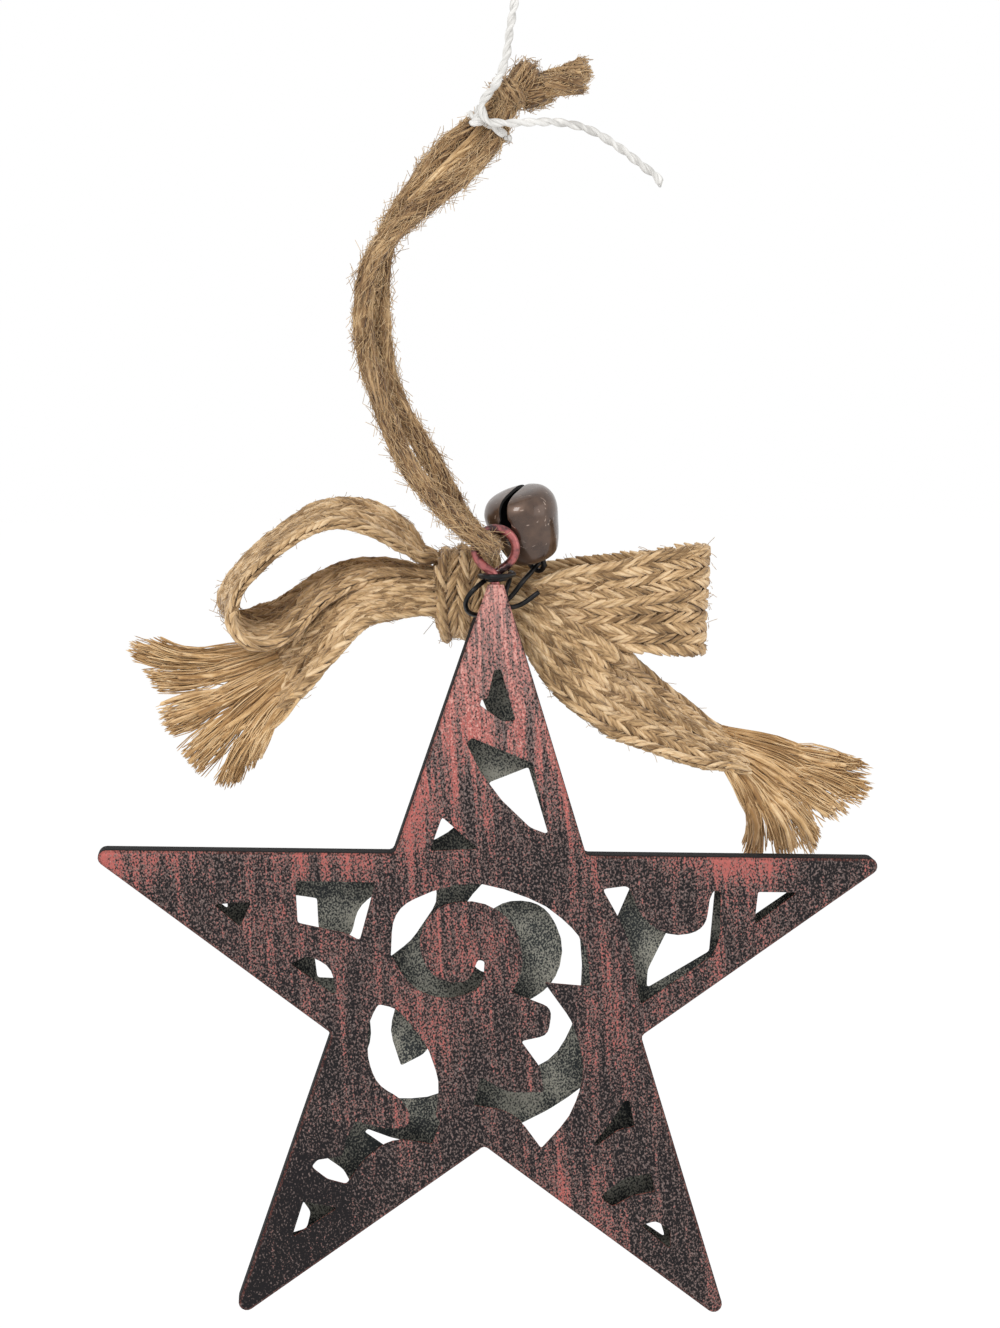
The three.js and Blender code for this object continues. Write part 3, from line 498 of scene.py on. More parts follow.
# %% Twine fibres
def fibre_bundle(bm, route, width, count, pitch, seed):
    """A soft, barely twisted cord: two fibres in three lie near its surface and the others inside"""
    pick = random.Random(seed)
    strands = []
    for number in range(count):
        depth = 0.4 if number % 3 else 0.24
        phase = 2 * math.pi * (number + pick.random()) / count
        wave = pick.uniform(0.25, 0.6)
        line = wound(route, depth * width, pitch, phase, 1.1 * MM, pick.uniform(0.15, 0.5), wave)
        thick = width * pick.uniform(0.05, 0.12)
        strands.append((line, thick, pick.random()))
    lay(bm, strands, steps=max(4, round(route.length / (1.5 * MM))), sides=5)


bm = new_bmesh()
fibre_bundle(bm, twine_route, TWINE_WIDTH, count=60, pitch=60 * MM, seed=1)
twine = make_piece("twine", bm, "hanger", TWINE, "twine", "hanger_cord")

# %% [markdown]
# Jute is never smooth: loose fibres stand off it everywhere. Each hair is a very thin strand that
# leaves the surface nearly along the yarn and then curls away. The hairs of one cord or ribbon form one
# piece, a little lighter than the fibres. Matted ones fill the gap between the runs under the knot.

# %% Loose hairs
HAIR_WIDTH = 0.1 * MM


def hair(start, away, along, length, pick):
    """One curled hair: most lie nearly flat on the surface, and a few short ones stand off it"""
    stand = pick.random() ** 3 * 0.55
    way = along.lerp(away, stand).normalized()
    points = [start]
    for _ in range(3):
        points.append(points[-1] + way * length * (1 - stand) / 3)
        way = (way + Vector([pick.uniform(-0.5, 0.5) for _ in range(3)]) - away * 0.12).normalized()
    return Route(points), HAIR_WIDTH / 2, pick.uniform(0.1, 1.0)


def cord_hairs(route, radius, count, longest, pick):
    """Hairs all round a cord"""
    hairs = []
    for _ in range(count):
        centre, forward, side, up = route.at(pick.uniform(0.01, 0.99) * route.length)
        angle = pick.uniform(0, 2 * math.pi)
        away = side.normalized() * math.cos(angle) + up * math.sin(angle)
        along = forward * pick.choice((-1, 1)) + away.cross(forward) * pick.gauss(0, 0.5)
        length = longest * pick.uniform(0.3, 1) ** 1.5
        hairs.append(hair(centre + away * radius * 0.98, away, along.normalized(), length, pick))
    return hairs


MATTED = [(-4.8, 0, -31.3), (-6.8, 0, -33.6), (-10.0, 0, -36.8), (-14.0, 0, -40.9), (-17.0, 0, -44.0)]
bm = new_bmesh()
fibre_bundle(bm, Route(spline(in_metres(MATTED))), width=2.6 * MM, count=40, pitch=60 * MM, seed=8)
hairs = cord_hairs(twine_route, TWINE_WIDTH / 2, count=7000, longest=4.5 * MM, pick=random.Random(2))
lay(bm, hairs, steps=3, sides=3)
make_piece("twine_hairs", bm, "hanger", HAIR, "twine")

# %% [markdown]
# The two ends of the twine are knotted into one lump. The lump is built from short turns of the same
# soft twine round a padded middle, with the two cut ends standing out to the right.

# %% Lumps and turns of a knot
KNOT_LUMPS = [((1.1, 0, -23.9), (3.0, 2.7, 2.7), 0.5), ((-1.1, -0.4, -26.0), (2.6, 2.8, 2.2), -0.6),
    ((3.2, 0.3, -25.9), (2.6, 2.7, 2.0), 1.1)]
KNOT_ENDS = [[(4.2, 0.9, -24.6), (5.6, 0.9, -23.9), (8.6, 0.6, -22.9), (11.0, 0.4, -21.8)],
    [(4.2, -1.4, -24.9), (5.6, -1.4, -24.7), (7.8, -1.5, -24.4), (10.4, -1.7, -24.0)]]


def egg_shape(centre, sizes):
    """What turns a ball of radius 1 into an egg, whose centre and half sizes are in millimetres"""
    return Matrix.Translation(Vector(centre) * MM) @ Matrix.Diagonal((*[s * MM for s in sizes], 1))


def turns_round(centre, sizes, tilt, turns, spread):
    """A route of a few turns round an egg-shaped lump"""
    points = []
    count = round(turns * 12)
    for step in range(count + 1):
        angle = 2 * math.pi * turns * step / count
        drift = spread * (step / count - 0.5)
        around = Vector((drift, math.cos(angle) * math.sqrt(1 - drift**2), math.sin(angle)))
        around.rotate(Euler((0, tilt, 0)))
        points.append((Vector(centre) + Vector([a * s for a, s in zip(around, sizes)])) * MM)
    return Route(spline(points, 4))


print("knot of", len(KNOT_LUMPS), "lumps and", len(KNOT_ENDS), "cut ends")

# %% The knot in the twine's ends
bm = new_bmesh()
pick = random.Random(3)
knot_routes = []
for centre, sizes, tilt in KNOT_LUMPS:
    egg = egg_shape(centre, sizes)
    bmesh.ops.create_uvsphere(bm, u_segments=20, v_segments=12, radius=0.9, matrix=egg)
    line = turns_round(centre, [s * 0.74 for s in sizes], tilt, turns=2.2, spread=1.2)
    fibre_bundle(bm, line, width=2.8 * MM, count=26, pitch=20 * MM, seed=pick.random())
    knot_routes.append(line)
for end in KNOT_ENDS:
    line = Route(spline(in_metres(end)))
    fibre_bundle(bm, line, width=4.0 * MM, count=40, pitch=24 * MM, seed=pick.random())
    knot_routes.append(line)
twine_knot = make_piece("twine_knot", bm, "hanger", TWINE, "twine", "hanger_knot")

# %% Hairs on the knot
HAIRS_ON_CUT_END = 90
hairs = []
for line in knot_routes:
    hairs += cord_hairs(line, radius=1.7 * MM, count=700, longest=2.6 * MM, pick=pick)
for line in knot_routes[-len(KNOT_ENDS):]:
    tip, forward, side, up = line.at(line.length)
    for _ in range(HAIRS_ON_CUT_END):
        off = side.normalized() * pick.uniform(-1, 1) + up * pick.uniform(-1, 1)
        hairs.append(hair(tip - forward * 0.6 * MM + off * 1.6 * MM, forward, forward, 1.6 * MM, pick))
bm = new_bmesh()
lay(bm, hairs, steps=4, sides=3)
make_piece("twine_knot_hairs", bm, "hanger", HAIR, "twine")

# %% [markdown]
# ## The cotton thread
# The thread comes down from its own small top loop, is tied once round both strands of the twine,
# and ends in a free tail that lies to the right. It is soft white two-ply cotton, 1.3 mm thick. Its two
# plies show clearly, so each is one round strand that winds round the thread's middle line.

# %% Thread
THREAD_WIDTH = 1.3 * MM
THREAD_TWIST = 5.5 * MM
THREAD_LINE = [(0, 0, -8.6), (-0.4, -1.0, -11.2), (-1.3, -2.6, -16.0), (-2.1, -4.0, -20.8),
    (-3.8, -4.9, -25.0), (-5.9, -4.9, -27.9)]
THREAD_TAIL = [(-5.2, -5.5, -30.5), (-2.2, -6.5, -31.0), (1.8, -5.2, -30.8), (6.7, -3.0, -30.7),
    (11.6, -2.0, -31.8), (16.5, -1.0, -34.6), (20.7, 0, -37.7), (22.8, 0.3, -39.3),
    (23.2, 0.5, -40.9)]
thread_route = Route(spline(in_metres(THREAD_LINE + THREAD_TAIL)))


def two_ply(bm, route, width, pitch, seed, spacing=0.3 * MM):
    """Two plies that wind round one route, once round in each pitch"""
    pick = random.Random(seed)
    plies = []
    for phase in (0, math.pi):
        line = wound(route, 0.23 * width, pitch, phase, spacing)
        plies.append((line, 0.33 * width, pick.uniform(0.25, 0.75)))
    lay(bm, plies, steps=max(3, round(route.length / spacing)), sides=8)


bm = new_bmesh()
two_ply(bm, thread_route, THREAD_WIDTH, THREAD_TWIST, seed=4)
thread = make_piece("thread", bm, "hanger", COTTON, "cotton", "thread_line", "thread_tail")
print("thread:", round(thread_route.length / MM), "mm")

# %% Tie round the twine
TIE_FRONT, TIE_BACK = Vector((-3.2, -1.9, -32.1)), Vector((-6.0, 1.9, -30.3))
TIE_TURNS = [((-6.4, -3.3, -29.4), (1.0, 1.1, 0.9), 0.4), ((-6.5, -3.4, -30.6), (0.9, 1.0, 0.7), 1.4)]
TWINE_WAY = Vector((-0.6, 0, -0.8))
tie_long = (TIE_FRONT - TIE_BACK).normalized()
tie_short = tie_long.cross(TWINE_WAY).normalized()
tie_centre = (TIE_FRONT + TIE_BACK) / 2


def oval(centre, right, up, corners=32):
    """A route once round an oval whose two half-axes are given"""
    angles = [2 * math.pi * step / corners for step in range(corners + 1)]
    return Route([(centre + right * math.cos(a) + up * math.sin(a)) * MM for a in angles])


bm = new_bmesh()
two_ply(bm, oval(tie_centre, tie_long * 4.7, tie_short * 2.5), THREAD_WIDTH, THREAD_TWIST, seed=5)
for centre, sizes, tilt in TIE_TURNS:
    turned = turns_round(centre, sizes, tilt, turns=1.8, spread=1.0)
    two_ply(bm, turned, 1.0 * MM, 5 * MM, seed=tilt)
thread_tie = make_piece("thread_tie_turns", bm, "hanger", COTTON, "cotton", "thread_tie")

# %% Loop at the top
LOOP_RADIUS = 3.4
LOOP_DROP = LOOP_RADIUS - THREAD_WIDTH / MM / 2
bm = new_bmesh()
ring = oval(Vector((0, 0, -LOOP_DROP)), Vector((LOOP_RADIUS, 0, 0)), Vector((0, 0, LOOP_RADIUS)))
# Four whole twists go round the ring, so that its plies meet
two_ply(bm, ring, THREAD_WIDTH, 5.34 * MM, seed=6)
knot_place = (0, 0, -LOOP_DROP - LOOP_RADIUS - 0.9)
loop_knot = turns_round(knot_place, (0.8, 0.8, 1.0), tilt=0.3, turns=2.6, spread=1.5)
two_ply(bm, loop_knot, 0.9 * MM, 5 * MM, seed=7)
thread_top = make_piece("thread_top_loop", bm, "hanger", COTTON, "cotton", "thread_loop")

# %% [markdown]
# ## The bow
# The bow is one flat jute braid, 18 mm wide, with its two loops, two tails and a wrap round the middle.
# A line down the middle of each stretch carries the braid. Each point of it is given with the direction
# across the braid and the braid's width there, which shrinks towards the knot, where small pleats form.

# %% Ribbon routes
RIBBON_WIDTH = 18 * MM
PLEATS = 3
LEFT_ROOT, RIGHT_ROOT = -13.4, -1.2
LEFT_LOOP = [
    ((LEFT_ROOT, 13.3, -101.0), (0, 1, 0.1), 6.5), ((-14.9, 13.3, -100.7), (0.05, 1, 0.2), 7),
    ((-17.4, 12.9, -98.0), (0.14, 0.85, 0.4), 9), ((-22.5, 12.0, -94.9), (0.12, 0.94, 0.3), 13.5),
    ((-27.2, 12.1, -93.7), (0.07, 0.97, 0.23), 16), ((-32.2, 12.6, -94.4), (0.03, 0.98, 0.18), 18),
    ((-37.8, 12.7, -97.8), (-0.05, 0.99, 0.1), 18), ((-42.6, 12.7, -101.8), (-0.13, 0.99, 0.03), 18),
    ((-46.2, 12.7, -106.2), (-0.15, 0.99, -0.03), 18), ((-47.0, 12.7, -109.6), (-0.12, 0.99, 0.06), 18),
    ((-45.2, 12.6, -111.8), (-0.08, 0.98, 0.2), 18), ((-42.4, 12.5, -112.7), (-0.06, 0.95, 0.3), 18),
    ((-39.2, 12.5, -112.0), (-0.06, 0.95, 0.3), 18), ((-35.3, 12.8, -109.2), (-0.06, 0.97, 0.22), 17),
    ((-31.4, 13.0, -106.2), (-0.05, 0.98, 0.2), 15), ((-26.6, 13.6, -104.0), (-0.05, 0.97, 0.2), 12),
    ((-21.0, 14.2, -103.3), (0, 1, 0.2), 9.5), ((-15.2, 14.2, -104.0), (0, 1, 0.1), 8),
    ((LEFT_ROOT, 14.2, -104.1), (0, 1, 0.1), 7.5)]
LEFT_TAIL = [
    ((LEFT_ROOT, 7.0, -107.5), (0, 0, 1), 5.6), ((-15.0, 7.0, -107.5), (0, 0.1, 1), 5.6),
    ((-19.0, 6.7, -107.6), (0, 0.2, 1), 6.2), ((-25.3, 6.6, -109.0), (-0.1, 0.7, 0.7), 8),
    ((-29.2, 6.6, -111.6), (-0.2, 0.6, 0.75), 9), ((-33.4, 6.8, -115.6), (-0.25, 0.6, 0.75), 10.5),
    ((-37.0, 8.2, -119.0), (-0.4, 0.75, 0.5), 14), ((-39.6, 8.8, -120.9), (-0.5, 0.75, 0.4), 16.5)]
RIGHT_LOOP = [
    ((RIGHT_ROOT, 10.0, -107.4), (0, 0, 1), 6), ((0.4, 10.0, -107.4), (0, 0, 1), 6),
    ((3.8, 8.5, -108.9), (0, 0, 1), 9), ((9.6, 7.6, -109.2), (0.02, 0, 1), 13),
    ((17.5, 7.4, -109.1), (0.03, 0, 1), 15), ((25.0, 7.4, -108.4), (0.04, 0, 1), 17.2),
    ((30.3, 8.7, -108.2), (0.05, 0, 1), 18), ((31.9, 11.4, -108.2), (0.05, 0, 1), 18),
    ((30.3, 14.2, -108.3), (0.05, 0, 1), 18), ((23.2, 15.4, -108.6), (0.04, 0, 1), 16.5),
    ((11.5, 15.2, -108.3), (0.02, 0, 1), 14), ((0.4, 14.3, -107.2), (0, 0, 1), 9.2),
    ((RIGHT_ROOT, 14.2, -107.2), (0, 0, 1), 9)]
RIGHT_TAIL = [
    ((RIGHT_ROOT, 7.3, -109.7), (0, 0, 1), 5.5), ((0.2, 7.2, -109.9), (0, 0, 1), 5.5),
    ((2.6, 6.6, -111.4), (0.15, 0, 1), 6.5), ((5.2, 5.7, -113.9), (0.33, 0, 0.94), 8.5),
    ((8.2, 4.9, -116.7), (0.42, 0.05, 0.9), 11), ((11.2, 4.5, -119.3), (0.45, 0.1, 0.87), 12.2),
    ((14.4, 4.5, -121.9), (0.48, 0.25, 0.78), 12.4), ((18.3, 7.8, -124.2), (0.57, 0.6, 0.5), 15),
    ((26.3, 10.6, -128.8), (0.47, 0.84, 0.27), 17), ((32.8, 11.8, -132.2), (0.44, 0.89, 0.15), 18),
    ((38.0, 12.1, -134.0), (0.46, 0.88, 0.08), 18)]


def ribbon_route(stations):
    """A route whose sideways direction is as long as half the ribbon's width"""
    centres = spline([Vector(place) * MM for place, _, _ in stations])
    halves = spline([Vector(across).normalized() * width / 2 * MM for _, across, width in stations])
    return Route(centres, halves)


def on_ribbon(route, along, share, lift=0.0, deepest=0.35 * MM):
    """A point of the ribbon: its share from -1 to 1 across, and its height over the pleated middle"""
    centre, forward, side, up = route.at(along)
    beyond = along - min(max(along, 0.0), route.length)
    flat, gathered = RIBBON_WIDTH / 2 / PLEATS, side.length / PLEATS
    slack = math.sqrt(max(0.0, flat**2 - gathered**2))
    pleat = min(deepest, 0.5 * slack) * math.sin(PLEATS * math.pi * share)
    return centre + forward * beyond + side * share + up * (pleat + lift)


ribbons = {"left_loop": ribbon_route(LEFT_LOOP), "left_tail": ribbon_route(LEFT_TAIL),
    "right_loop": ribbon_route(RIGHT_LOOP), "right_tail": ribbon_route(RIGHT_TAIL)}
for name, route in ribbons.items():
    print(name, "length", round(route.length / MM, 1), "mm")

# %% Route of the wrap round the knot
KNOT_CENTRE, KNOT_HALF = Vector((-7.3, 11.9, -106.8)), (5.8, 4.8, 6.8)
KNOT_STEPS = 48
knot_points = []
for step in range(KNOT_STEPS + 1):
    angle = math.pi / 2 + 2 * math.pi * step / KNOT_STEPS
    # A power under 1 swells the oval towards a rounded box
    out, rise = [math.copysign(abs(v) ** 0.6, v) for v in (math.cos(angle), math.sin(angle))]
    knot_points.append((KNOT_CENTRE + Vector((0, KNOT_HALF[1] * rise, KNOT_HALF[2] * out))) * MM)
# It is drawn in a little at the top and the bottom
knot_ends = [1 - 0.26 * (abs(p.z / MM - KNOT_CENTRE.z) / KNOT_HALF[2]) ** 3 for p in knot_points]
knot_sides = [Vector((KNOT_HALF[0], 0, 0.8)) * MM * share for share in knot_ends]
ribbons["knot"] = Route(knot_points, knot_sides)
ribbons["knot"].squeeze = 2 * KNOT_HALF[0] * MM / RIBBON_WIDTH
print("knot length", round(ribbons["knot"].length / MM, 1), "mm")

# %% [markdown]
# A flat braid is made of many yarns that cross it at a slant, over and under one another. What shows on
# each face is the part of each yarn that lies on top: short plump stitches in columns, which lean left
# and right by turns and so make rows of V's. Each stitch here is a strand with rounded ends, bent
# with the ribbon, and the thin core behind the stitches closes the gaps between them.

# %% Braid stitches
COLUMNS = 10
ROW_PITCH = 1.6 * MM
STITCH_LENGTH = 5.2 * MM
STITCH_RADIUS = 0.43 * MM
STITCH_STEPS = 5
LEAN = math.radians(25)


def stitch(route, along, across, lean, face, pick):
    """One stitch of the braid, lifted in its middle and sunk at its ends"""
    points = []
    for step in range(STITCH_STEPS + 1):
        swing = step / STITCH_STEPS - 0.5
        crown = 1 - 4 * swing**2
        share = (across + swing * STITCH_LENGTH * math.sin(lean) / route.squeeze) / (RIBBON_WIDTH / 2)
        lift = face * (0.15 + 0.4 * crown) * MM
        points.append(on_ribbon(route, along + swing * STITCH_LENGTH * math.cos(lean), share, lift))
    plump = STITCH_RADIUS * pick.uniform(0.8, 1.2)
    return Route(points), lambda at: plump * (1 - abs(2 * at - 1) ** 3) ** 0.5, pick.random()


def braid(bm, route, columns, heading, pick):
    """Rows of stitches on both faces; heading 1 opens the V's along the route and -1 closes them"""
    rows = int(route.length / ROW_PITCH)
    pitch = route.length / rows
    stitches = []
    for row in range(rows):
        for column in range(columns):
            across = ((column + 0.5) / columns - 0.5) * RIBBON_WIDTH
            side = 1 if column % 2 else -1
            for face in (1, -1):
                lean = heading * side * (LEAN + math.radians(pick.uniform(-6, 6)))
                along = (row + 0.5 + pick.uniform(-0.1, 0.1)) * pitch
                nudge = pick.uniform(-0.15, 0.15) * MM
                stitches.append(stitch(route, along, across + nudge, lean, face, pick))
    lay(bm, stitches, steps=6, sides=6)


print("stitches to a row on one face:", COLUMNS)


# %% Braid cores
CORE_THICKNESS, CORE_COLUMNS = 0.3 * MM, 30


def ribbon_core(route):
    """A thin pleated strip that fills the middle of the braid"""
    bm = new_bmesh()
    uv = bm.loops.layers.uv.active
    tones, alongs = bm.verts.layers.float["tone"], bm.verts.layers.float["along"]
    steps = round(route.length / (1.1 * MM))
    grid = bmesh.ops.create_grid(bm, x_segments=steps, y_segments=CORE_COLUMNS, size=1)["verts"]
    for vertex in grid:
        along, share = (vertex.co.x + 1) / 2 * route.length, vertex.co.y
        for loop in vertex.link_loops:
            loop[uv].uv = (share, along / MM)
        # The low tone makes the core darker than the stitches: painted shade for the gaps between them.
        vertex[tones], vertex[alongs] = 0.2, along / MM
        vertex.co = on_ribbon(route, along, share * 0.93, deepest=0.9 * MM)
    bmesh.ops.solidify(bm, geom=bm.faces, thickness=CORE_THICKNESS)
    bmesh.ops.recalc_face_normals(bm, faces=bm.faces)
    return bm


print("core thickness:", round(CORE_THICKNESS / MM, 2), "mm")


# %% Loose hairs of the braid
HAIRS_PER_MM = 22


def ribbon_hairs(route, count, longest, pick):
    """Hairs on both faces, which point outwards near the ribbon's edges"""
    hairs = []
    for _ in range(count):
        along, share, face = pick.random() * route.length, pick.uniform(-1.02, 1.02), pick.choice((-1, 1))
        start = on_ribbon(route, along, share, face * (1.0 - 0.5 * share**4) * MM)
        _, forward, side, up = route.at(along)
        sideways = side.normalized() * math.copysign(abs(share) ** 4, share)
        away = (up * face * (1 - abs(share) ** 4) + sideways).normalized()
        slant = forward * pick.choice((-1, 1)) + side.normalized() * pick.uniform(-0.7, 0.7)
        length = pick.uniform(0.25, 1) ** 2 * longest
        hairs.append(hair(start, away, slant.normalized(), length, pick))
    return hairs


print("hairs on a millimetre of braid:", HAIRS_PER_MM)

# %% [markdown]
# Past each tail's end the braid has come apart. Its fibres run on and gather in a few locks, with gaps
# between them. A line along the rim tells how far they reach, and each fibre ends a little closer to the
# middle of its own lock. A few thick yarns among the fine fibres haven't come undone.

# %% Frayed ends
FRAY_RIMS = {
    "left_tail": [(-41.4, 6.5, -131.6), (-46.9, 6.5, -138.4), (-51.8, 7.0, -136.5), (-57.7, 7.5, -128.4),
        (-59.6, 8.0, -121.2), (-63.1, 8.5, -116.7), (-61.9, 9.0, -112.6)],
    "right_tail": [(37.6, 9.8, -150.6), (43.3, 9.6, -150.7), (50.4, 9.4, -150.4), (52.6, 9.2, -144.6),
        (56.4, 9.0, -143.9), (60.6, 9.0, -138.6), (56.4, 9.0, -134.6)]}
LOCKS = (0, 0.16, 0.3, 0.5, 0.68, 0.84, 1)
FRAY_FIBRES, FIBRES_PER_YARN = 720, 30


def frayed_end(route, rim, share, lock, thick, ragged, pick):
    """One fibre or yarn that runs on from the ribbon's end and gathers with others in a lock"""
    root = on_ribbon(route, route.length - 3 * MM, (share * 2 - 1) * 0.97, pick.uniform(-0.8, 0.8) * MM)
    _, forward, side, up = route.at(route.length)
    side = side.normalized()
    target = rim.at((lock + (share - lock) * 0.62) * rim.length)[0]
    tip = root.lerp(target, 1 - ragged * pick.random() ** 2)
    tip += (up * pick.uniform(-1.3, 1.3) + side * pick.uniform(-0.6, 0.6)) * MM
    reach = (tip - root).length
    bend = forward * 0.13 * reach
    wave = (side * pick.uniform(-1, 1) + up * pick.uniform(-1, 1)) * 0.045 * reach
    line = [root, root.lerp(tip, 0.3) + bend * 0.9 + wave, root.lerp(tip, 0.65) + bend - wave, tip]
    return Route(spline(line, 4)), lambda at: thick * (1.1 - 0.35 * at), pick.random()


def frayed(bm, route, rim, pick):
    """Fine fibres with thicker yarns among them, gathered in locks of several widths"""
    fibres, yarns = [], []
    for number in range(FRAY_FIBRES):
        share = (number + pick.random()) / FRAY_FIBRES
        end = bisect_right(LOCKS, share)
        lock = (LOCKS[end - 1] + LOCKS[end]) / 2
        fibres.append(frayed_end(route, rim, share, lock, pick.uniform(0.1, 0.2) * MM, 0.2, pick))
        if number % FIBRES_PER_YARN == 0:
            yarns.append(frayed_end(route, rim, share, lock, pick.uniform(0.35, 0.55) * MM, 0.3, pick))
    lay(bm, fibres, steps=10, sides=4)
    lay(bm, yarns, steps=12, sides=6)


print("fibres and yarns of a frayed end:", FRAY_FIBRES, "and", FRAY_FIBRES // FIBRES_PER_YARN)

# %% [markdown]
# Each stretch of the bow is a core, its stitches and its hairs, and the two tails have their frays. In
# the real knot the braid that the wrap holds fills the ring. An egg-shaped body with a few gathered
# turns over it stands for that, because only its two ends show, beside the wrap.

# %% Build the bow
BRAIDS = {"left_loop": ("bow_loop_left", COLUMNS, 1), "left_tail": ("bow_tail_left", COLUMNS, -1),
    "right_loop": ("bow_loop_right", COLUMNS, 1), "right_tail": ("bow_tail_right", COLUMNS, -1),
    "knot": ("bow_knot", 6, 1)}
FRAY_NODES = {"left_tail": "fray_left", "right_tail": "fray_right"}


def knot_filling(bm):
    """The gathered braid that fills the knot"""
    egg = egg_shape(KNOT_CENTRE, (5.9, 4.3, 6.2))
    bmesh.ops.create_uvsphere(bm, u_segments=24, v_segments=16, radius=1, matrix=egg)
    turned = turns_round(KNOT_CENTRE, (5.6, 2.4, 3.4), tilt=0.2, turns=4.5, spread=1.7)
    fibre_bundle(bm, turned, width=4.4 * MM, count=40, pitch=30 * MM, seed=9)


for number, (name, route) in enumerate(ribbons.items()):
    node, columns, heading = BRAIDS[name]
    pick = random.Random(20 + number)
    core = make_piece(name + "_core", ribbon_core(route), "star", JUTE, "jute", node)
    bm = new_bmesh()
    braid(bm, route, columns, heading, pick)
    if name == "knot":
        knot_filling(bm)
    on_it = [make_piece(name + "_braid", bm, "star", JUTE, "jute")]
    bm = new_bmesh()
    hairs = ribbon_hairs(route, round(HAIRS_PER_MM * route.length / MM), longest=4 * MM, pick=pick)
    lay(bm, hairs, steps=4, sides=3)
    on_it.append(make_piece(name + "_hairs", bm, "star", HAIR, "jute"))
    if name in FRAY_RIMS:
        bm = new_bmesh()
        frayed(bm, route, Route(spline(in_metres(FRAY_RIMS[name]))), pick)
        on_it.append(make_piece(name + "_fray", bm, "star", FRAY, "jute", FRAY_NODES[name]))

# %% [markdown]
# ## The pierced star
# Both trays are thin steel in dull black paint. The front is dry-brushed with copper red: the
# brush ran up and down, so the copper lies in upright streaks of fine specks. It is thickest on the top
# point and along the upper edge of the two arms, and thin on the left leg. The back tray's face shows
# through the openings, mottled grey-green. The trays keep their CAD shapes, and the paint reads the
# place in the object and the way that each face looks.

# %% Where a point of the metal lies
def place_of(finish):
    return finish.node("ShaderNodeTexCoord", output="Object")


def part_of(finish, vector, axis):
    """One coordinate of a vector"""
    return finish.node("ShaderNodeSeparateXYZ", {}, {0: vector}, output="XYZ".index(axis))


def facing(finish, axis):
    """How far a surface looks along one axis, from -1 to 1"""
    return part_of(finish, finish.node("ShaderNodeTexCoord", output="Normal"), axis)


def in_mm(finish, x, y, z):
    """A place in millimetres, from its three parts in metres"""
    return finish.node("ShaderNodeCombineXYZ", {}, {0: x * 1000, 1: y * 1000, 2: z * 1000})


print("the star's outer faces look along Y, from -1 in front to 1 behind")


# %% Brushed copper over black
def speckled(finish, grain, amount, under, over):
    """Specks of one colour over another; where the amount is higher the specks are denser"""
    return finish.blend(finish.between(amount + (grain - 0.5) * 2.4, 0.32, 0.78), under, over)


def brushed(finish, place):
    """Charcoal under specks of grey and copper, which close up into streaks of copper"""
    x, y, z = [part_of(finish, place, axis) for axis in "XYZ"]
    leaned = in_mm(finish, x + z * 0.07, y * 0.2, z)
    # Fine and broad streaks run up and down, and the patches tell where the brush was fuller
    fine = finish.noise(finish.stretch(leaned, 1.5, 1, 0.09), 1, 3, 0.6)
    broad = finish.noise(finish.stretch(leaned, 0.4, 1, 0.04), 1, 3, 0.6)
    patches = finish.noise(finish.stretch(leaned, 0.06, 0.05, 0.04), 1, 2, 0.5)
    # The specks are read in a turned frame, so that they don't line up with the streaks
    turned = in_mm(finish, x + z * 0.4, y * 0.2, z * 0.8 - x * 0.48)
    grain, other = finish.noise(turned, 3.4, 1, 0.5), finish.noise(turned, 2.8, 1, 0.5)
    # Each mask runs from 0 to 1 as the point goes from the first place to the second
    high = finish.between(z, -150 * MM, -108 * MM)
    low = finish.between(z, -175 * MM, -222 * MM)
    left_leg = finish.between(z, -190 * MM, -205 * MM) * finish.between(x, -20 * MM, -30 * MM)
    arms = finish.between(abs(x), 16 * MM, 22 * MM) * finish.between(z, -155 * MM, -149 * MM)
    streaks = (fine - 0.5) * 1.3 + (broad - 0.5) * 1.1 + (patches - 0.5) * 0.9
    worn_edge = arms * (1 - high) * (patches * 2.2 - 0.85)
    amount = streaks * (high * 1.1 + 1) + high * 0.6 + worn_edge - low * 0.1 - left_leg * 0.38 + 0.27
    metal = speckled(finish, other, amount * 0.9 + 0.12, paint(132, 108, 102), paint(172, 94, 88))
    bare = high * 0.4 - left_leg * 0.2 + 0.3
    ground = speckled(finish, other, bare, paint(24, 21, 23), paint(120, 104, 100))
    painted = speckled(finish, grain, amount, ground, metal)
    rosy = speckled(finish, other, high * 0.8 - 0.1, painted, paint(206, 154, 144))
    return leaned, grain, fine, finish.blend(finish.between(amount, 0.3, 0.9), painted, rosy)


def mottled(finish, leaned, grain, dark, light):
    """Grey-green paint, cloudy and finely speckled"""
    clouds = finish.noise(leaned, 0.12, 2, 0.6)
    return speckled(finish, grain * 0.85 + 0.08, (clouds - 0.5) * 1.6 + 0.46, dark, light)


def painted_steel(finish, wall, roughness):
    """Duller and less metallic on the walls, which are seen along their surface"""
    finish.set("Roughness", wall * 0.4 + roughness)
    finish.set("Metallic", 0.2 - wall * 0.2)


BARE_WALL = paint(20, 19, 20)
print("paints: brushed, mottled")

# %% Front tray's paint
FRONT = Finish("front paint", {"Specular IOR Level": 0.2})
place = place_of(FRONT)
leaned, grain, fine, colour = brushed(FRONT, place)
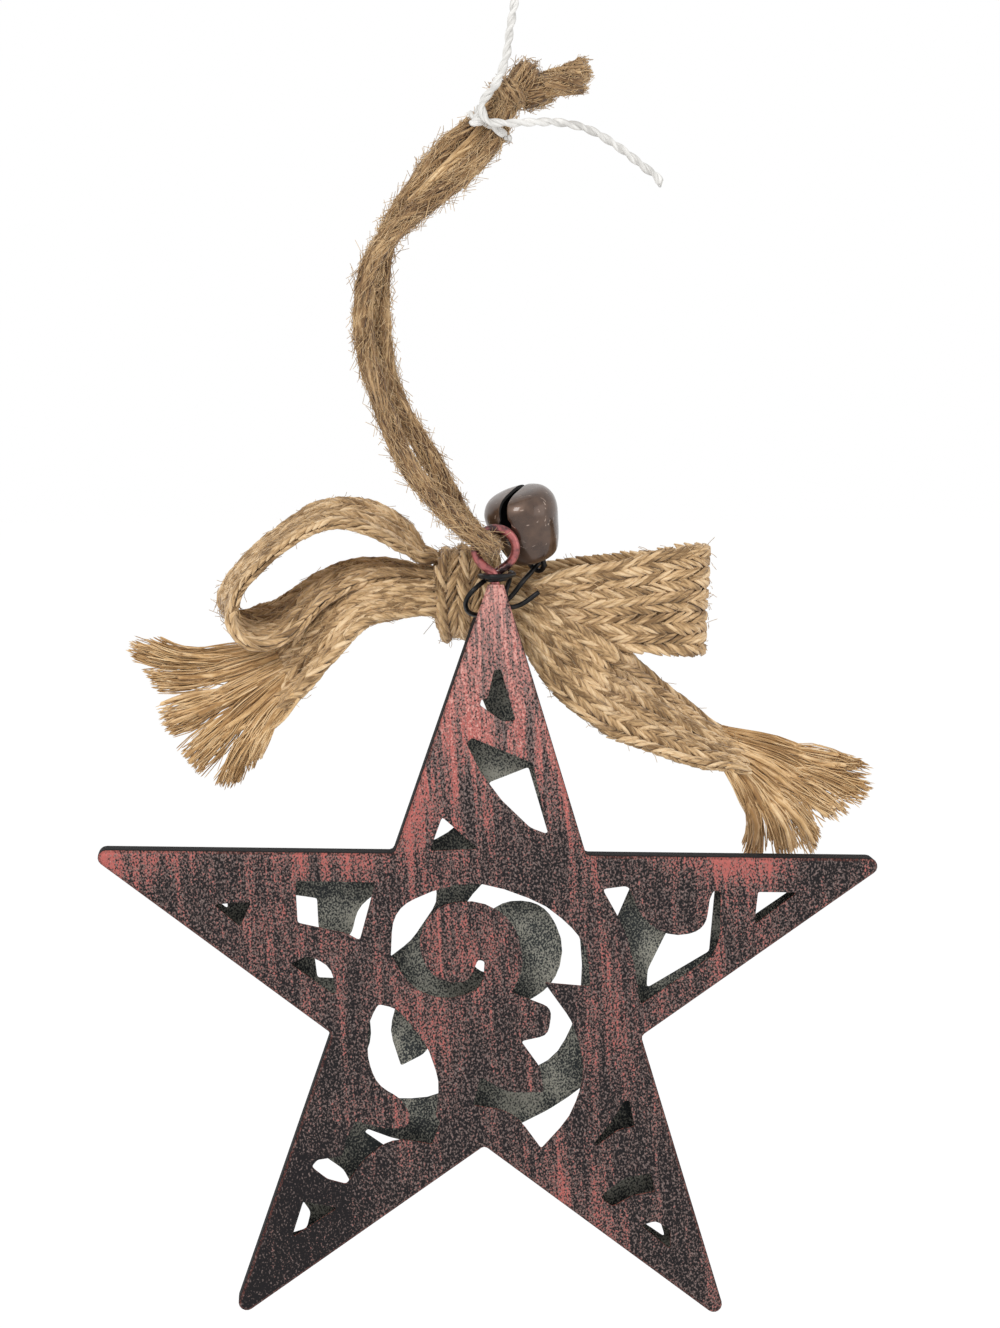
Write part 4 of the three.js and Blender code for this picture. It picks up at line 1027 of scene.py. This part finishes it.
# The bend next to the front face and the cut edges get copper specks: paint that the brush left on the
# edge, and also a painted highlight along the cut edges
sheet_edge = FRONT.between(part_of(FRONT, place, "Y"), -2.6 * MM, -2.8 * MM)
wall = FRONT.between(abs(facing(FRONT, "Y")), 0.8, 0.5)
specks = sheet_edge * FRONT.between(grain, 0.4, 0.6)
colour = FRONT.blend(wall, colour, FRONT.blend(specks, BARE_WALL, paint(150, 84, 72)))
inward = FRONT.between(facing(FRONT, "Y"), 0.5, 0.8)
inside = mottled(FRONT, leaned, grain, paint(20, 20, 20), paint(52, 52, 48))
FRONT.set("Base Color", FRONT.blend(inward, colour, inside))
painted_steel(FRONT, wall, 0.5)
FRONT.bump(fine * 0.5 + grain, 0.05 * MM, 0.5)
print("nodes in the front paint:", len(FRONT.tree.nodes))

# %% Back tray's paint
BACK = Finish("back paint", {"Specular IOR Level": 0.2})
place = place_of(BACK)
leaned, grain, fine, outside = brushed(BACK, place)
inside = mottled(BACK, leaned, grain, paint(50, 54, 55), paint(160, 158, 146))
front_side = BACK.between(facing(BACK, "Y"), 0.3, -0.3)
wall = BACK.between(abs(facing(BACK, "Y")), 0.8, 0.5)
BACK.set("Base Color", BACK.blend(wall, BACK.blend(front_side, outside, inside), BARE_WALL))
painted_steel(BACK, wall, 0.55)
BACK.bump(grain, 0.05 * MM, 0.5)
for node, finish in (("front_plate", FRONT), ("back_plate", BACK)):
    nodes[node].data.materials.clear()
    nodes[node].data.materials.append(finish.material)
print("nodes in the back paint:", len(BACK.tree.nodes))

# %% [markdown]
# ## Wires, bell and pellet
# The CAD wires have only a few sides. A merged copy that is subdivided twice makes them round, and
# pushing it out a little first keeps the wire's thickness. The eye is in worn copper paint, and the tie
# and the staple are bare black iron.

# %% Wire finishes
COPPER = Finish("copper paint",
    {"Metallic": 0.5, "Roughness": 0.28, "Coat Weight": 0.4, "Coat Roughness": 0.15})
place = place_of(COPPER)
worn = COPPER.noise(place, 900, 3, 0.6)
patch = COPPER.noise(place, 160, 2, 0.5)
mask = COPPER.between(worn * 0.6 + patch * 0.6, 0.49, 0.66)
COPPER.set("Base Color", COPPER.blend(mask, paint(52, 30, 32), paint(168, 92, 90)))
COPPER.bump(worn, 0.06 * MM, 0.6)

BLACK = Finish("black wire", {"Metallic": 0.2, "Roughness": 0.32, "Specular IOR Level": 0.3})
scuff = BLACK.noise(place_of(BLACK), 700, 3, 0.6)
mask = BLACK.between(scuff, 0.55, 0.75)
BLACK.set("Base Color", BLACK.blend(mask, paint(14, 14, 15), paint(62, 57, 55)))
BLACK.bump(scuff, 0.04 * MM, 0.5)

STEEL = Finish("pellet steel", {"Metallic": 1.0, "Roughness": 0.25})
pits = STEEL.noise(place_of(STEEL), 1500, 2, 0.5)
STEEL.set("Base Color", STEEL.blend(pits, paint(150, 152, 156), paint(190, 192, 196)))
STEEL.bump(pits, 0.02 * MM, 0.4)
print("wire finishes: copper, black and steel")


# %% Smooth copies of the wires
def smooth_copy(name, node, body, slot, finish, swell, levels=2):
    """A merged and subdivided copy of a CAD node that takes its place"""
    bm = bmesh.new()
    bm.from_mesh(nodes[node].data)
    bmesh.ops.remove_doubles(bm, verts=bm.verts, dist=0.002 * MM)
    bm.normal_update()
    for vertex, normal in [(v, v.normal.copy()) for v in bm.verts]:
        vertex.co += normal * swell
    piece = make_piece(name, bm, body, finish, slot, node)
    rounding = piece.modifiers.new("rounding", "SUBSURF")
    rounding.levels = rounding.render_levels = levels


smooth_copy("eye_wire", "hanging_eye", "star", "copper_wire", COPPER, 0.05 * MM)
smooth_copy("bell_tie", "tie_wire", "star", "black_wire", BLACK, 0.12 * MM)
smooth_copy("staple", "bell_staple", "bell", "black_wire", BLACK, 0.02 * MM)
smooth_copy("pellet_ball", "bell_pellet", "pellet", "pellet_steel", STEEL, 0.01 * MM)

# %% [markdown]
# The bell is a drawn shell. Its outline is spun round the bell's axis, and a smaller copy of it, turned
# inside out, is the inner face of its wall. A flat cutter takes out the slot over its top, and a round
# one the holes at the slot's two ends. Cutting both faces at once also closes the wall along the slot.

# %% Bell shell
BELL_RADIUS, BELL_WALL, BELL_SLOT, SLOT_END = 6.1 * MM, 0.5 * MM, 1.5 * MM, 2.2 * MM
BELL_PLACE = Vector((1.8, 6.5, -95.6)) * MM
axis = Vector((-0.3, -0.22, 0.93)).normalized()
across = axis.cross(Vector((-0.49, -0.82, -0.3))).normalized()
bell_turn = Matrix((across.cross(axis), across, axis)).transposed().to_4x4()
bell_frame = Matrix.Translation(BELL_PLACE) @ bell_turn
SWEEP = [(0, -0.98), (0.43, -0.98), (0.62, -0.88), (0.76, -0.6), (0.9, -0.1), (0.99, 0.36), (0.96, 0.63),
    (0.8, 0.87), (0.52, 0.98), (0, 1.01)]
outline = spline([Vector((r, 0, h)) * BELL_RADIUS for r, h in SWEEP], 5)
bm = bmesh.new()
ring = [bm.verts.new(p) for p in outline]
edges = [bm.edges.new(pair) for pair in zip(ring, ring[1:])]
bmesh.ops.spin(bm, geom=ring + edges, axis=(0, 0, 1), cent=(0, 0, 0), steps=64,
    angle=2 * math.pi, use_merge=True)
bmesh.ops.remove_doubles(bm, verts=bm.verts, dist=0.001 * MM)
bmesh.ops.recalc_face_normals(bm, faces=bm.faces)
bm.normal_update()
outer_faces = list(bm.faces)
inner = bmesh.ops.duplicate(bm, geom=outer_faces)["geom"]
inner_faces = [part for part in inner if isinstance(part, bmesh.types.BMFace)]
for vertex in {v for face in inner_faces for v in face.verts}:
    vertex.co *= 1 - BELL_WALL / BELL_RADIUS
bmesh.ops.reverse_faces(bm, faces=inner_faces)
bm.normal_update()
print("bell faces out and in:", len(outer_faces), len(inner_faces))

# %% Bell slot
SLOT_BASE = 0.42 * BELL_RADIUS
cutter_bm = bmesh.new()
slot_box = Matrix.Translation((0, 0, SLOT_BASE + BELL_RADIUS / 2)) @ Matrix.Diagonal(
    (3 * BELL_RADIUS, BELL_SLOT, BELL_RADIUS, 1))
bmesh.ops.create_cube(cutter_bm, size=1, matrix=slot_box)
hole_turn = Matrix.Translation((0, 0, SLOT_BASE)) @ Matrix.Rotation(math.pi / 2, 4, "Y")
hole_bm = bmesh.new()
bmesh.ops.create_cone(hole_bm, cap_ends=True, segments=24, radius1=SLOT_END / 2, radius2=SLOT_END / 2,
    depth=3 * BELL_RADIUS, matrix=hole_turn)


def carve(bm, *cutters):
    """Takes other closed shapes out of a bmesh, through a Boolean modifier whose result is kept"""
    body = bpy.data.objects.new("uncut", bpy.data.meshes.new("uncut"))
    bm.to_mesh(body.data)
    bpy.context.scene.collection.objects.link(body)
    helpers = []
    for cutter in cutters:
        helper = bpy.data.objects.new("cutter", bpy.data.meshes.new("cutter"))
        cutter.to_mesh(helper.data)
        cutter.free()
        bpy.context.scene.collection.objects.link(helper)
        cut = body.modifiers.new("cut", "BOOLEAN")
        cut.operation, cut.solver, cut.object = "DIFFERENCE", "EXACT", helper
        helpers.append(helper)
    solid = body.evaluated_get(bpy.context.evaluated_depsgraph_get()).to_mesh()
    bm.clear()
    bm.from_mesh(solid)
    for helper in [body] + helpers:
        bpy.data.objects.remove(helper)


carve(bm, cutter_bm, hole_bm)
bmesh.ops.transform(bm, matrix=bell_frame, verts=bm.verts)
bm.normal_update()
print("faces after the cuts:", len(bm.faces))

# %% Bell finish
BRONZE = Finish("bell bronze", {"Metallic": 0.5, "Coat Weight": 0.5, "Coat Roughness": 0.05})
place = place_of(BRONZE)
cloud = BRONZE.noise(place, 300, 3, 0.6)
scratch = BRONZE.noise(BRONZE.stretch(place, 300, 2600, 900), 1, 2, 0.6)
bronze = BRONZE.blend(BRONZE.between(cloud, 0.35, 0.65), paint(66, 48, 38), paint(94, 72, 58))
BRONZE.set("Base Color", BRONZE.blend(BRONZE.between(scratch, 0.66, 0.72), bronze, paint(170, 150, 136)))
BRONZE.set("Roughness", BRONZE.between(cloud, 0.2, 1.6) + 0.12)
BRONZE.bump(scratch, 0.02 * MM, 0.4)
# Faces that look into the bell take a second finish, nearly black with faint mottling: painted shade for
# the hollow, which shows through the slot.
for face in bm.faces:
    if face.normal.dot(face.calc_center_median() - BELL_PLACE) < 0:
        face.material_index = 1
HOLLOW = Finish("bell inside painted shade", {"Metallic": 0.2, "Roughness": 0.8})
hollow_shade_mottle = HOLLOW.noise(place_of(HOLLOW), 500, 2, 0.5)
HOLLOW.set("Base Color", HOLLOW.blend(hollow_shade_mottle, paint(14, 12, 11), paint(30, 26, 24)))
bell = make_piece("bell", bm, "bell", BRONZE, "bell_bronze", "bell_shell")
bell.data.materials.append(HOLLOW.material)
bell.data.shade_smooth()
rims = bell.modifiers.new("soft rims", "BEVEL")
rims.width, rims.segments, rims.limit_method, rims.angle_limit = 0.08 * MM, 2, "ANGLE", 0.7

# %% [markdown]
# ## Sizes
# The box of the CAD model and the box of everything modelled here are printed side by side.

# %% Sizes and finish
dressed_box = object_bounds()
sizes = {"cad": [list(map(float, corner)) for corner in cad_box],
    "visual": [list(map(float, corner)) for corner in dressed_box]}
print(sizes)
